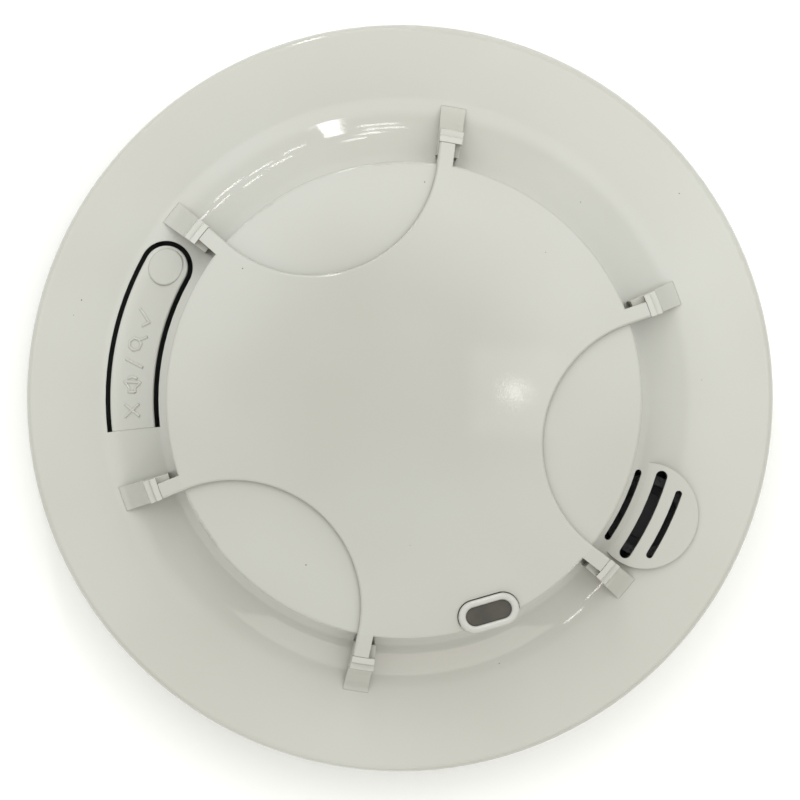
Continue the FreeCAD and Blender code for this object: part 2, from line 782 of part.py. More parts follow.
def rear_housing():
    """Back shell: visible rim, floor, upstand inside the cover, cell bay, posts and lugs."""
    nest = "(cover_radius - cover_wall - nest_gap)"
    shell = turned("rear_shell", [
        ("0", "floor_bottom"),
        ("cover_radius - rim_wall", "floor_bottom"),
        ("cover_radius - rim_wall", "rim_bottom"),
        ("cover_radius", "rim_bottom"),
        ("cover_radius", RIM_TOP),
        (nest, RIM_TOP),
        (nest, "upstand_top"),
        (f"{nest} - upstand_wall", "upstand_top"),
        (f"{nest} - upstand_wall", FLOOR_TOP),
        ("0", FLOOR_TOP),
    ])
    solids = [shell, bay_frame("bay_outer", f"{BAY_LENGTH} + 2*bay_wall", f"{BAY_WIDTH} + 2*bay_wall",
                               FLOOR_TOP, f"bay_top - {FLOOR_TOP}")]
    holes = [bay_frame("bay_hole", BAY_LENGTH, BAY_WIDTH, "0", TALL)]
    for angle in BOARD_SCREW_ANGLES:
        x, y = polar("board_screw_radius", angle)
        solids.append(cylinder("board_post", "board_post_radius",
                               f"board_bottom - {FLOOR_TOP} + 0.5", (x, y, f"{FLOOR_TOP} - 0.5")))
        holes.append(cylinder("board_bore", "board_screw_bore", "5",
                              (x, y, "board_bottom - 4.8")))
    for angle in CASE_SCREW_ANGLES:
        x, y = polar("case_screw_distance", angle)
        solids.append(cylinder("case_seat", "case_post_radius + 0.3",
                               "case_post_bottom - 0.1 - floor_bottom", (x, y, "floor_bottom")))
        holes.append(cylinder("case_head_hole", "screw_head_radius + 0.2",
                              "screw_head_height + 0.5", (x, y, "floor_bottom")))
        holes.append(cylinder("case_shank_hole", "screw_radius + 0.2", TALL, (x, y, "0")))
    for index in range(BAYONET_COUNT):
        centre = f"(tab_angle + {index * 360 / BAYONET_COUNT})"
        solids.append(ring_sector("lug", "plate_radius + bayonet_gap", "cover_radius - 1",
                                  f"{centre} - tab_arc/2", "tab_arc", "lug_bottom", "lug_top"))
    return node(cut("rear", fuse("rear_solid", solids), holes), "rear_housing")


def battery_cover():
    """Lid that closes the bay from the back, with a dip for a fingertip."""
    lid = bay_frame("lid_panel", f"{BAY_LENGTH} - 2*lid_gap", f"{BAY_WIDTH} - 2*lid_gap",
                    "floor_bottom + 0.05", "lid_thickness")
    x, y = polar(CELL_DISTANCE, "cell_angle")
    along = f"({BAY_LENGTH}/2 - 5)"
    dip_x = f"{x} - {along}*sin(cell_angle)"
    dip_y = f"{y} + {along}*cos(cell_angle)"
    dip = cylinder("lid_dip", "4", "0.8", (dip_x, dip_y, "floor_bottom"))
    return node(cut("lid", lid, [dip]), "battery_cover")


def along_cell(offset, height=CELL_HEIGHT):
    """Point on the cell's axis at an offset towards its button end."""
    x, y = polar(CELL_DISTANCE, "cell_angle")
    return f"{x} - ({offset})*sin(cell_angle)", f"{y} + ({offset})*cos(cell_angle)", height


def battery():
    """Lithium cell lying along the bay, with a crimped shoulder and a raised button."""
    half = "cell_length/2"
    return node(turned("cell", [
        ("0", f"-{half}"),
        ("cell_radius - 0.6", f"-{half}"),
        ("cell_radius", f"-{half} + 0.6"),
        ("cell_radius", f"{half} - 1.6"),
        ("cell_radius - 0.5", f"{half} - 1.2"),
        ("cell_radius - 0.5", f"{half} - 0.4"),
        ("cell_radius - 1.2", half),
        ("cell_nub_radius", half),
        ("cell_nub_radius", f"{half} + cell_nub_length"),
        ("0", f"{half} + cell_nub_length"),
    ], along_cell("-0.4"), ("cell_angle", "0", "-90")), "battery")


def plus_contact():
    """Bent strip at the button end of the cell."""
    offset = f"{BAY_LENGTH}/2 - contact_thickness - 0.1"
    x, y, _ = along_cell(f"{offset} + contact_thickness/2")
    blade = block("plus_blade", "contact_width", "contact_thickness",
                  f"{CELL_HEIGHT} + 4 - (cell_bottom + 1.5)", (x, y, "cell_bottom + 1.5"),
                  ("cell_angle", "0", "0"))
    dimple = cylinder("plus_dimple", "2", "0.6", along_cell(offset), ("cell_angle", "0", "90"))
    return node(fuse("plus", [blade, dimple]), "plus_contact")


def minus_contact():
    """Flat strip behind the coil spring."""
    x, y, _ = along_cell(f"-({BAY_LENGTH}/2 - 0.1 - contact_thickness/2)")
    return node(block("minus_blade", "contact_width", "contact_thickness",
                      f"{CELL_HEIGHT} + 4 - (cell_bottom + 1.5)", (x, y, "cell_bottom + 1.5"),
                      ("cell_angle", "0", "0")), "minus_contact")


def contact_spring():
    """Coil spring between the flat contact and the bottom of the cell."""
    seat = f"({BAY_LENGTH}/2 - 0.1 - contact_thickness - spring_wire - 0.05)"
    length = f"({seat} - (cell_length/2 + 0.4) - spring_wire - 0.05)"
    coil = doc.addObject("Part::Helix", "spring_path")
    bind(coil, "Pitch", f"{length}/spring_turns")
    bind(coil, "Height", length)
    bind(coil, "Radius", "spring_radius")
    wire = doc.addObject("Part::Circle", "spring_wire_section")
    bind(wire, "Radius", "spring_wire")
    place(wire, ("spring_radius", "0", "0"), ("0", "0", "90"))
    spring = doc.addObject("Part::Sweep", "spring")
    spring.Sections = [wire]
    spring.Spine = (coil, [])
    spring.Solid = True
    spring.Frenet = True
    return node(place(spring, along_cell(f"-{seat}"), ("cell_angle", "0", "-90")),
                "contact_spring")


def circuit_board():
    """Round board, cut away from the cell bay to its edge and notched for the case posts."""
    disc = cylinder("board_disc", "board_radius", "board_thickness", ("0", "0", "board_bottom"))
    window_x, window_y = polar(f"{CELL_DISTANCE} + board_radius/2", "cell_angle")
    window = block("board_window", f"{BAY_WIDTH} + 2*bay_wall + 1 + board_radius",
                   f"{BAY_LENGTH} + 2*bay_wall + 1", TALL, (window_x, window_y, "0"),
                   ("cell_angle", "0", "0"))
    holes = [window]
    for angle in CASE_SCREW_ANGLES:
        x, y = polar("case_screw_distance", angle)
        holes.append(cylinder("board_notch", "case_post_radius + 0.5", TALL, (x, y, "0")))
    for angle in BOARD_SCREW_ANGLES:
        x, y = polar("board_screw_radius", angle)
        holes.append(cylinder("board_hole", "board_hole_radius", TALL, (x, y, "0")))
    return node(cut("board", disc, holes), "circuit_board")


def screw(name, at, turn=("0", "0", "0")):
    """Pan-head screw, its head's underside at the given position and its shank below."""
    return turned(name, [
        ("0", "screw_head_height"),
        ("screw_head_radius - 0.5", "screw_head_height"),
        ("screw_head_radius", "screw_head_height - 0.6"),
        ("screw_head_radius", "0"),
        ("screw_radius - 0.1", "0"),
        ("screw_radius - 0.1", "-(screw_length - 1.8)"),
        ("0", "-(screw_length - 1)"),
    ], at, turn)


def board_screws():
    screws = []
    for angle in BOARD_SCREW_ANGLES:
        x, y = polar("board_screw_radius", angle)
        screws.append(screw("board_screw", (x, y, f"{BOARD_TOP} + 0.02")))
    return node(group("board_screw_set", screws), "board_screws")


def case_screws():
    screws = []
    seat = "floor_bottom + screw_head_height + 0.45"
    for angle in CASE_SCREW_ANGLES:
        x, y = polar("case_screw_distance", angle)
        screws.append(screw("case_screw", (x, y, seat), ("0", "0", "180")))
    return node(group("case_screw_set", screws), "case_screws")


def controller_chip():
    """Small-outline chip with gull leads along two sides."""
    centre_x, centre_y = -33.0, -22.0
    body = block("chip_body", "chip_length", "chip_width", "chip_height",
                 (str(centre_x), str(centre_y), f"{BOARD_TOP} + 0.15"))
    pieces = [body]
    width, length, height = LEAD_SIZE
    for side in (-1, 1):
        for index in range(CHIP_LEADS_PER_SIDE):
            x = centre_x + (index - (CHIP_LEADS_PER_SIDE - 1) / 2) * LEAD_PITCH
            y = f"{centre_y} + {side}*(chip_width/2 + {length / 2 - 0.2})"
            pieces.append(block("chip_lead", str(width), str(length), str(height),
                                (str(x), y, f"{BOARD_TOP} + 0.05")))
    return node(fuse("chip", pieces), "controller_chip")


def storage_capacitor():
    """Electrolytic can with a rolled groove near its base."""
    return node(turned("can", [
        ("0", f"{BOARD_TOP} + 0.05"),
        ("capacitor_radius", f"{BOARD_TOP} + 0.05"),
        ("capacitor_radius", f"{BOARD_TOP} + 1.4"),
        ("capacitor_radius - 0.4", f"{BOARD_TOP} + 1.8"),
        ("capacitor_radius", f"{BOARD_TOP} + 2.2"),
        ("capacitor_radius", f"{BOARD_TOP} + capacitor_height - 0.5"),
        ("capacitor_radius - 0.5", f"{BOARD_TOP} + capacitor_height"),
        ("0", f"{BOARD_TOP} + capacitor_height"),
    ], ("12", "-40", "0")), "storage_capacitor")


def boost_coil():
    """Drum-core coil: two flanges with the winding between them."""
    return node(turned("drum", [
        ("0", f"{BOARD_TOP} + 0.05"),
        ("coil_radius", f"{BOARD_TOP} + 0.05"),
        ("coil_radius", f"{BOARD_TOP} + 0.9"),
        ("coil_radius - 0.6", f"{BOARD_TOP} + 0.9"),
        ("coil_radius - 0.6", f"{BOARD_TOP} + coil_height - 0.9"),
        ("coil_radius", f"{BOARD_TOP} + coil_height - 0.9"),
        ("coil_radius", f"{BOARD_TOP} + coil_height"),
        ("0", f"{BOARD_TOP} + coil_height"),
    ], ("-4", "-42", "0")), "boost_coil")


def switch_body():
    """Square push switch with a round guide hole for its plunger."""
    x, y = polar("tongue_radius", "tongue_tip_angle")
    case = block("switch_case", "switch_side", "switch_side", "switch_height",
                 (x, y, f"{BOARD_TOP} + 0.02"), ("tongue_tip_angle", "0", "0"))
    hole = cylinder("switch_hole", "plunger_radius + plunger_gap", TALL,
                    (x, y, f"{BOARD_TOP} + 1"))
    return node(cut("switch", case, [hole]), "switch_body")


def switch_plunger():
    x, y = polar("tongue_radius", "tongue_tip_angle")
    bottom = f"{BOARD_TOP} + 2"
    return node(cylinder("plunger", "plunger_radius", f"plunger_top - ({bottom})",
                         (x, y, bottom)), "switch_plunger")


def sounder_case():
    """Cup that holds the sounding disc near its top."""
    x, y = polar("sounder_distance", "sounder_angle")
    top = f"{BOARD_TOP} + sounder_height"
    ledge = f"{top} - 2"
    inner = "sounder_radius - sounder_wall"
    return node(turned("sounder_cup", [
        ("0", f"{BOARD_TOP} + 0.02"),
        ("sounder_radius", f"{BOARD_TOP} + 0.02"),
        ("sounder_radius", top),
        (inner, top),
        (inner, ledge),
        (f"{inner} - 1", ledge),
        (f"{inner} - 1", f"{BOARD_TOP} + 1.2"),
        ("0", f"{BOARD_TOP} + 1.2"),
    ], (x, y, "0")), "sounder_case")


def sounder_disc():
    """Brass disc with a smaller ceramic disc on its face."""
    x, y = polar("sounder_distance", "sounder_angle")
    seat = f"({BOARD_TOP} + sounder_height - 2 + 0.02)"
    return node(turned("disc", [
        ("0", seat),
        ("disc_radius", seat),
        ("disc_radius", f"{seat} + disc_thickness"),
        ("disc_radius - 1.6", f"{seat} + disc_thickness"),
        ("disc_radius - 1.6", f"{seat} + 2*disc_thickness"),
        ("0", f"{seat} + 2*disc_thickness"),
    ], (x, y, "0")), "sounder_disc")


def sounder_gasket():
    """Foam ring from the sounder's rim up to the sloping underside of the boss."""
    x, y = polar("sounder_distance", "sounder_angle")
    bottom = f"{BOARD_TOP} + sounder_height + 0.02"
    tube = cylinder("gasket_outer", "sounder_radius", "boss_radius", (x, y, bottom))
    bore = cylinder("gasket_bore", "sounder_radius - gasket_wall", TALL, (x, y, "0"))
    ring = cut("gasket_ring", tube, [bore])
    return node(common("gasket", ring, tilted_block("gasket_top", "cover_wall + 0.02")),
                "sounder_gasket")


def optic_bore(name, angle, radius, start, end):
    """Level cylinder along a spoke of the chamber."""
    x, y = polar(start, angle)
    return cylinder(name, radius, f"({end}) - ({start})", (x, y, "optic_height"),
                    (angle, "90", "0"))


def chamber_base():
    """Black base: flange, drum with a central pocket, and two level bores for the optics."""
    drum = turned("base_drum", [
        ("0", f"{BOARD_TOP} + 0.05"),
        ("chamber_flange_radius", f"{BOARD_TOP} + 0.05"),
        ("chamber_flange_radius", f"{BOARD_TOP} + chamber_flange"),
        ("chamber_radius", f"{BOARD_TOP} + chamber_flange"),
        ("chamber_radius", "chamber_base_top"),
        ("chamber_core_radius", "chamber_base_top"),
        ("chamber_core_radius", "chamber_core_floor"),
        ("0", "chamber_core_floor"),
    ])
    bores = []
    for angle in ("emitter_angle", "receiver_angle"):
        bores.append(optic_bore("optic_bore", angle, "optic_radius + optic_gap",
                                "chamber_core_radius - 1", "chamber_radius - 1.5"))
    return node(cut("base", drum, bores), "chamber_base")


def chamber_lid():
    """Lid with a ring of slanted vanes that let smoke in and keep light out."""
    disc_bottom = "(chamber_lid_top - chamber_lid)"
    pieces = [cylinder("lid_disc", "chamber_radius", "chamber_lid", ("0", "0", disc_bottom))]
    vane_bottom = "(chamber_base_top + 0.05)"
    for index in range(int(SIZES["vane_count"])):
        spoke = f"({index}*360/vane_count)"
        x, y = polar("vane_distance", spoke)
        pieces.append(block("vane", "vane_length", "vane_width",
                            f"chamber_lid_top - 0.5 - {vane_bottom}", (x, y, vane_bottom),
                            (f"{spoke} + vane_turn", "0", "0")))
    return node(fuse("labyrinth", pieces), "chamber_lid")


def insect_mesh():
    inner = "(chamber_radius + mesh_gap)"
    bottom = f"{BOARD_TOP} + chamber_flange + 0.05"
    return node(turned("mesh", [
        (inner, bottom),
        (f"{inner} + mesh_thickness", bottom),
        (f"{inner} + mesh_thickness", "chamber_lid_top - 0.1"),
        (inner, "chamber_lid_top - 0.1"),
    ]), "insect_mesh")


def optic(label, angle):
    """Five millimetre lamp or sensor, its dome towards the middle of the chamber."""
    x, y = polar("(optic_distance + optic_length)", angle)
    shoulder = "optic_length - optic_radius"
    return node(turned(label, [
        ("0", "0"),
        ("optic_radius", "0"),
        ("optic_radius", shoulder, "optic_radius"),
        ("0", "optic_length"),
    ], (x, y, "optic_height"), (angle, "-90", "0")), label)


def well_seal():
    """Foam ring between the wall of the smoke well and the board."""
    return node(turned("seal", [
        ("well_radius", f"{BOARD_TOP} + 0.03"),
        ("well_radius + well_wall", f"{BOARD_TOP} + 0.03"),
        ("well_radius + well_wall", "well_bottom - 0.03"),
        ("well_radius", "well_bottom - 0.03"),
    ]), "well_seal")


def mounting_plate():
    """Ceiling plate: floor, rim, three bayonet tabs with end stops, and two screw slots."""
    shell = turned("plate_shell", [
        ("0", "0"),
        ("plate_radius", "0"),
        ("plate_radius", "plate_rim_top"),
        ("plate_radius - plate_rim_wall", "plate_rim_top"),
        ("plate_radius - plate_rim_wall", "plate_floor"),
        ("plate_hub_radius", "plate_floor"),
        ("plate_hub_radius", "plate_floor + 1.2"),
        ("0", "plate_floor + 1.2"),
    ])
    solids = [shell]
    for index in range(BAYONET_COUNT):
        centre = f"(tab_angle + {index * 360 / BAYONET_COUNT})"
        start = f"{centre} - tab_arc/2"
        outer = "plate_radius + tab_reach"
        solids.append(ring_sector("tab", "plate_radius - 1", outer, start, "tab_arc",
                                  "tab_bottom", "plate_rim_top"))
        solids.append(ring_sector("stop", "plate_radius - 1", outer,
                                  f"{start} - stop_arc - 0.6", "stop_arc",
                                  "lug_bottom", "plate_rim_top"))
    slots = []
    reach = "(screw_slot_length - screw_slot_width)"
    for side in (-1, 1):
        x = f"{side}*screw_slot_spacing/2"
        slots.append(block("slot_middle", reach, "screw_slot_width", TALL, (x, "0", "-1")))
        for end in (-1, 1):
            slots.append(cylinder("slot_end", "screw_slot_width/2", TALL,
                                  (f"{x} + {end}*{reach}/2", "0", "-1")))
    return node(cut("plate", fuse("plate_solid", solids), slots), "mounting_plate")


def build():
    """Make every sub-part, in the order in which the alarm goes together."""
    shell = cover_shell("cover_wall_form")
    cover = front_cover(shell)
    return [
        mounting_plate(),
        rear_housing(),
        battery_cover(),
        battery(),
        plus_contact(),
        minus_contact(),
        contact_spring(),
        circuit_board(),
        board_screws(),
        controller_chip(),
        storage_capacitor(),
        boost_coil(),
        switch_body(),
        switch_plunger(),
        indicator_led(),
        light_guide(),
        sounder_case(),
        sounder_disc(),
        sounder_gasket(),
        well_seal(),
        chamber_base(),
        chamber_lid(),
        insect_mesh(),
        optic("ir_emitter", "emitter_angle"),
        optic("photodiode", "receiver_angle"),
        cover,
        cap_feet(cover),
        case_screws(),
        test_button(shell),
        lamp_bezel(),
        lamp_window(),
        smoke_cap(),
    ]


def check(nodes):
    """Stop if any object failed or any sub-part isn't a sound solid."""
    for thing in doc.Objects:
        if "Invalid" in thing.State or "Error" in thing.State:
            raise RuntimeError(f"{thing.Name} ({thing.Label}) failed: {thing.State}")
    for thing in nodes:
        shape = thing.Shape
        if shape.isNull() or not shape.isValid() or not shape.Solids:
            raise RuntimeError(f"{thing.Label} has no sound shape")


def write(nodes):
    os.makedirs("parts", exist_ok=True)
    for thing in nodes:
        thing.Shape.exportStep(os.path.join("parts", f"{thing.Label}.step"))


fill_sheet()
evaluator = doc.addObject("App::FeaturePython", "evaluator")
sub_parts = build()
doc.recompute()
check(sub_parts)
write(sub_parts)
print(f"{len(sub_parts)} sub-parts written")
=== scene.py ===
import logging
import math
from abc import ABC, abstractmethod
from dataclasses import dataclass, field
from enum import Enum

import bmesh
import bpy
from mathutils import Matrix, Vector


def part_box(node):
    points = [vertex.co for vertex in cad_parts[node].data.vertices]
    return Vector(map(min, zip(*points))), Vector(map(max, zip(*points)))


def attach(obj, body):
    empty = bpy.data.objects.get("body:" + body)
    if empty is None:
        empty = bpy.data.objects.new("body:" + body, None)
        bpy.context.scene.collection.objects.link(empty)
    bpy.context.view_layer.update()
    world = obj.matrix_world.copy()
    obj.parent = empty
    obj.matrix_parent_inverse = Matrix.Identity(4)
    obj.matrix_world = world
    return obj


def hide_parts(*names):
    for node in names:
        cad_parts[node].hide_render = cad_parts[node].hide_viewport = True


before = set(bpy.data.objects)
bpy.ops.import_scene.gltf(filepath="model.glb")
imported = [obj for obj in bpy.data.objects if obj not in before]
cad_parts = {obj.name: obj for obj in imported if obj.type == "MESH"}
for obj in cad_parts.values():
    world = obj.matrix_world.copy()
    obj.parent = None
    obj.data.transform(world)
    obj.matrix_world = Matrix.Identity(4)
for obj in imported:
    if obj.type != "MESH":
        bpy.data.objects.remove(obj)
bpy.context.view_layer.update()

# The looks of a ceiling smoke alarm, lying on its back with its face up.
# Everything is in metres in the CAD frame: +Z leaves the face, and the angles run from +X.

LOG = logging.getLogger("smoke_alarm")
MM = 0.001
UP = Vector((0.0, 0.0, 1.0))


class Body(Enum):
    """The CAD bodies that pieces ride on."""

    MOUNT = "mount"
    HEAD = "head"
    BUTTON = "button"
    PLUNGER = "plunger"


def linear(hex_code: str) -> tuple[float, float, float, float]:
    """Turns an sRGB hex colour to the linear colour that sockets take.

    Args:
        hex_code: Six hex digits, with or without a leading hash.

    Returns:
        Red, green, blue and an alpha of 1.
    """
    digits = hex_code.lstrip("#")
    channels = [int(digits[i:i + 2], 16) / 255 for i in (0, 2, 4)]
    curve = [c / 12.92 if c <= 0.04045 else ((c + 0.055) / 1.055) ** 2.4 for c in channels]
    return curve[0], curve[1], curve[2], 1.0


def per_mm(size: float) -> float:
    """Scale of a texture on Object coordinates whose features are about this many mm."""
    return 1.0 / (size * MM)


def add_node(tree: bpy.types.NodeTree, kind: str, settings: dict[str, object] | None = None,
             inputs: dict[str | int, object] | None = None) -> bpy.types.Node:
    """Adds one node to a tree, with its settings and what goes into it.

    Args:
        tree: The material or geometry tree.
        kind: The node's type name.
        settings: Properties to set on the node.
        inputs: Constants, or output sockets to link from, by input name or number.

    Returns:
        The new node.
    """
    node = tree.nodes.new(kind)
    for name, value in (settings or {}).items():
        setattr(node, name, value)
    for key, value in (inputs or {}).items():
        socket = node.inputs[key]
        if isinstance(value, bpy.types.NodeSocket):
            tree.links.new(value, socket)
        else:
            socket.default_value = value
    return node


class Finish(ABC):
    """A finish is a material for one real substance and the way its surface was made."""

    name: str

    def material(self) -> bpy.types.Material:
        """Makes the material once, and gives the same one after that.

        Returns:
            The Blender material.
        """
        known = bpy.data.materials.get(self.name)
        if known is not None:
            return known
        made = bpy.data.materials.new(self.name)
        made.use_nodes = True
        tree = made.node_tree
        tree.nodes.clear()
        shader = add_node(tree, "ShaderNodeBsdfPrincipled")
        self.dress(tree, shader)
        add_node(tree, "ShaderNodeOutputMaterial", {}, {"Surface": shader.outputs["BSDF"]})
        return made

    @abstractmethod
    def dress(self, tree: bpy.types.NodeTree, shader: bpy.types.Node) -> None:
        """Builds the pattern nodes and links them to the shader.

        Args:
            tree: The material's node tree.
            shader: Its Principled shader.
        """


@dataclass(frozen=True)
class MouldedPlastic(Finish):
    """Injection-moulded plastic, from a polished tool or a spark-eroded one."""

    name: str
    colour: str
    tone: str
    roughness: float
    smudge: float = 0.05
    ior: float = 1.53
    tone_mm: float = 38.0
    tone_range: tuple[float, float] = (0.35, 0.65)
    wave_mm: float = 9.0
    wave_depth_mm: float = 0.01
    grain_mm: float = 0.35
    grain_depth_mm: float = 0.004
    edge_mm: float = 0.18
    # painted shade in the corners: its colour, the reach of the occlusion and its strength
    corner_shade: str = "8C877A"
    corner_shade_mm: float = 1.4
    corner_shade_strength: float = 0.55
    speck_cell_mm: float = 6.5
    speck_mm: float = 0.11
    speck: str = "5E584C"
    smudge_mm: float = 14.0
    smudge_range: tuple[float, float] = (0.3, 0.7)
    corner_range: tuple[float, float] = (0.2, 0.8)

    def dress(self, tree: bpy.types.NodeTree, shader: bpy.types.Node) -> None:
        """Builds tone drift, painted shade in the corners, specks, smudges and moulding waves.

        Args:
            tree: The material's node tree.
            shader: Its Principled shader.
        """
        coords = add_node(tree, "ShaderNodeTexCoord").outputs["Object"]
        shader.inputs["IOR"].default_value = self.ior
        colour = self.shaded_and_specked(tree, coords, self.drifting(tree, coords))
        tree.links.new(colour, shader.inputs["Base Color"])
        tree.links.new(self.smudged(tree, coords), shader.inputs["Roughness"])
        tree.links.new(self.relief(tree, coords), shader.inputs["Normal"])

    def drifting(self, tree: bpy.types.NodeTree,
                 coords: bpy.types.NodeSocket) -> bpy.types.NodeSocket:
        """Slow drift between two tones of the same plastic.

        Args:
            tree: The material's node tree.
            coords: Object coordinates.

        Returns:
            The colour socket.
        """
        drift = add_node(tree, "ShaderNodeTexNoise", {},
                         {"Vector": coords, "Scale": per_mm(self.tone_mm), "Detail": 2.0})
        blend = add_node(tree, "ShaderNodeMapRange", {},
                         {"Value": drift.outputs[0], "From Min": self.tone_range[0],
                          "From Max": self.tone_range[1]})
        mixed = add_node(tree, "ShaderNodeMix", {"data_type": "RGBA"},
                         {0: blend.outputs[0], 6: linear(self.colour), 7: linear(self.tone)})
        return mixed.outputs[2]

    def shaded_and_specked(self, tree: bpy.types.NodeTree, coords: bpy.types.NodeSocket,
               unshaded: bpy.types.NodeSocket) -> bpy.types.NodeSocket:
        """Painted shade in the inner corners, and a few dark specks set in the plastic.

        Args:
            tree: The material's node tree.
            coords: Object coordinates.
            unshaded: The colour before the painted shade and the specks.

        Returns:
            The colour socket.
        """
        # painted shade: ambient occlusion darkens inner corners and contact lines towards the
        # shade colour
        corner = add_node(tree, "ShaderNodeAmbientOcclusion", {"samples": 8},
                          {"Distance": self.corner_shade_mm * MM})
        depth = add_node(tree, "ShaderNodeMapRange", {},
                         {"Value": corner.outputs["AO"], "From Min": self.corner_range[0],
                          "From Max": self.corner_range[1],
                          "To Min": self.corner_shade_strength, "To Max": 0.0})
        shaded = add_node(tree, "ShaderNodeMix", {"data_type": "RGBA"},
                         {0: depth.outputs[0], 6: unshaded, 7: linear(self.corner_shade)})
        cells = add_node(tree, "ShaderNodeTexVoronoi", {},
                         {"Vector": coords, "Scale": per_mm(self.speck_cell_mm)})
        speck = add_node(tree, "ShaderNodeMath", {"operation": "LESS_THAN"},
                         {0: cells.outputs["Distance"], 1: self.speck_mm / self.speck_cell_mm})
        specked = add_node(tree, "ShaderNodeMix", {"data_type": "RGBA"},
                           {0: speck.outputs[0], 6: shaded.outputs[2], 7: linear(self.speck)})
        return specked.outputs[2]

    def smudged(self, tree: bpy.types.NodeTree,
                coords: bpy.types.NodeSocket) -> bpy.types.NodeSocket:
        """Roughness with faint finger smudges.

        Args:
            tree: The material's node tree.
            coords: Object coordinates.

        Returns:
            The roughness socket.
        """
        smudge = add_node(tree, "ShaderNodeTexNoise", {},
                          {"Vector": coords, "Scale": per_mm(self.smudge_mm), "Detail": 4.0,
                           "Distortion": 0.6})
        rough = add_node(tree, "ShaderNodeMapRange", {},
                         {"Value": smudge.outputs[0], "From Min": self.smudge_range[0],
                          "From Max": self.smudge_range[1],
                          "To Min": self.roughness, "To Max": self.roughness + self.smudge})
        return rough.outputs[0]

    def relief(self, tree: bpy.types.NodeTree,
               coords: bpy.types.NodeSocket) -> bpy.types.NodeSocket:
        """Softened edges, then the slow waves of shrinkage, then the tool's grain.

        Args:
            tree: The material's node tree.
            coords: Object coordinates.

        Returns:
            The normal socket.
        """
        edge = add_node(tree, "ShaderNodeBevel", {"samples": 4}, {"Radius": self.edge_mm * MM})
        wave = add_node(tree, "ShaderNodeTexNoise", {},
                        {"Vector": coords, "Scale": per_mm(self.wave_mm), "Detail": 1.0})
        swell = add_node(tree, "ShaderNodeBump", {},
                         {"Distance": self.wave_depth_mm * MM, "Height": wave.outputs[0],
                          "Normal": edge.outputs[0]})
        grain = add_node(tree, "ShaderNodeTexNoise", {},
                         {"Vector": coords, "Scale": per_mm(self.grain_mm), "Detail": 3.0})
        rough = add_node(tree, "ShaderNodeBump", {},
                         {"Distance": self.grain_depth_mm * MM, "Height": grain.outputs[0],
                          "Normal": swell.outputs[0]})
        return rough.outputs[0]


@dataclass(frozen=True)
class ClearMoulding(Finish):
    """Clear or smoked acrylic, polished, with a little haze inside."""

    name: str
    colour: str
    haze: str
    transmission: float
    roughness: float = 0.12
    ior: float = 1.49
    haze_mm: float = 3.0
    rub_mm: float = 0.6
    rub_roughness: float = 0.1
    edge_mm: float = 0.15

    def dress(self, tree: bpy.types.NodeTree, shader: bpy.types.Node) -> None:
        """Builds the hazy body colour and a few fine rubbing marks.

        Args:
            tree: The material's node tree.
            shader: Its Principled shader.
        """
        coords = add_node(tree, "ShaderNodeTexCoord").outputs["Object"]
        haze = add_node(tree, "ShaderNodeTexNoise", {},
                        {"Vector": coords, "Scale": per_mm(self.haze_mm), "Detail": 2.0})
        body = add_node(tree, "ShaderNodeMix", {"data_type": "RGBA"},
                        {0: haze.outputs[0], 6: linear(self.colour), 7: linear(self.haze)})
        rubbed = add_node(tree, "ShaderNodeTexNoise", {},
                          {"Vector": coords, "Scale": per_mm(self.rub_mm), "Detail": 4.0})
        rough = add_node(tree, "ShaderNodeMapRange", {},
                         {"Value": rubbed.outputs[0], "To Min": self.roughness,
                          "To Max": self.roughness + self.rub_roughness})
        edge = add_node(tree, "ShaderNodeBevel", {"samples": 4}, {"Radius": self.edge_mm * MM})
        shader.inputs["IOR"].default_value = self.ior
        shader.inputs["Transmission Weight"].default_value = self.transmission
        tree.links.new(body.outputs[2], shader.inputs["Base Color"])
        tree.links.new(rough.outputs[0], shader.inputs["Roughness"])
        tree.links.new(edge.outputs[0], shader.inputs["Normal"])


@dataclass(frozen=True)
class Metal(Finish):
    """Rolled, drawn or plated metal, with its grain drawn out along one axis."""

    name: str
    colour: str
    tarnish: str
    roughness: float
    grain_mm: tuple[float, float, float] = (0.15, 0.15, 2.5)
    grain_depth_mm: float = 0.004
    grain_roughness: float = 0.15
    patch_mm: float = 4.0
    patch_range: tuple[float, float] = (0.45, 0.75)

    def dress(self, tree: bpy.types.NodeTree, shader: bpy.types.Node) -> None:
        """Builds the drawn grain, patches of tarnish and uneven shine.

        Args:
            tree: The material's node tree.
            shader: Its Principled shader.
        """
        coords = add_node(tree, "ShaderNodeTexCoord").outputs["Object"]
        scale = tuple(per_mm(size) for size in self.grain_mm)
        drawn = add_node(tree, "ShaderNodeMapping", {}, {"Vector": coords, "Scale": scale})
        grain = add_node(tree, "ShaderNodeTexNoise", {},
                         {"Vector": drawn.outputs[0], "Scale": 1.0, "Detail": 3.0})
        patch = add_node(tree, "ShaderNodeTexNoise", {},
                         {"Vector": coords, "Scale": per_mm(self.patch_mm), "Detail": 5.0})
        dull = add_node(tree, "ShaderNodeMapRange", {},
                        {"Value": patch.outputs[0], "From Min": self.patch_range[0],
                         "From Max": self.patch_range[1]})
        tint = add_node(tree, "ShaderNodeMix", {"data_type": "RGBA"},
                        {0: dull.outputs[0], 6: linear(self.colour), 7: linear(self.tarnish)})
        shine = add_node(tree, "ShaderNodeMapRange", {},
                         {"Value": grain.outputs[0], "To Min": self.roughness,
                          "To Max": self.roughness + self.grain_roughness})
        bump = add_node(tree, "ShaderNodeBump", {},
                        {"Distance": self.grain_depth_mm * MM, "Height": grain.outputs[0]})
        shader.inputs["Metallic"].default_value = 1.0
        tree.links.new(tint.outputs[2], shader.inputs["Base Color"])
        tree.links.new(shine.outputs[0], shader.inputs["Roughness"])
        tree.links.new(bump.outputs[0], shader.inputs["Normal"])


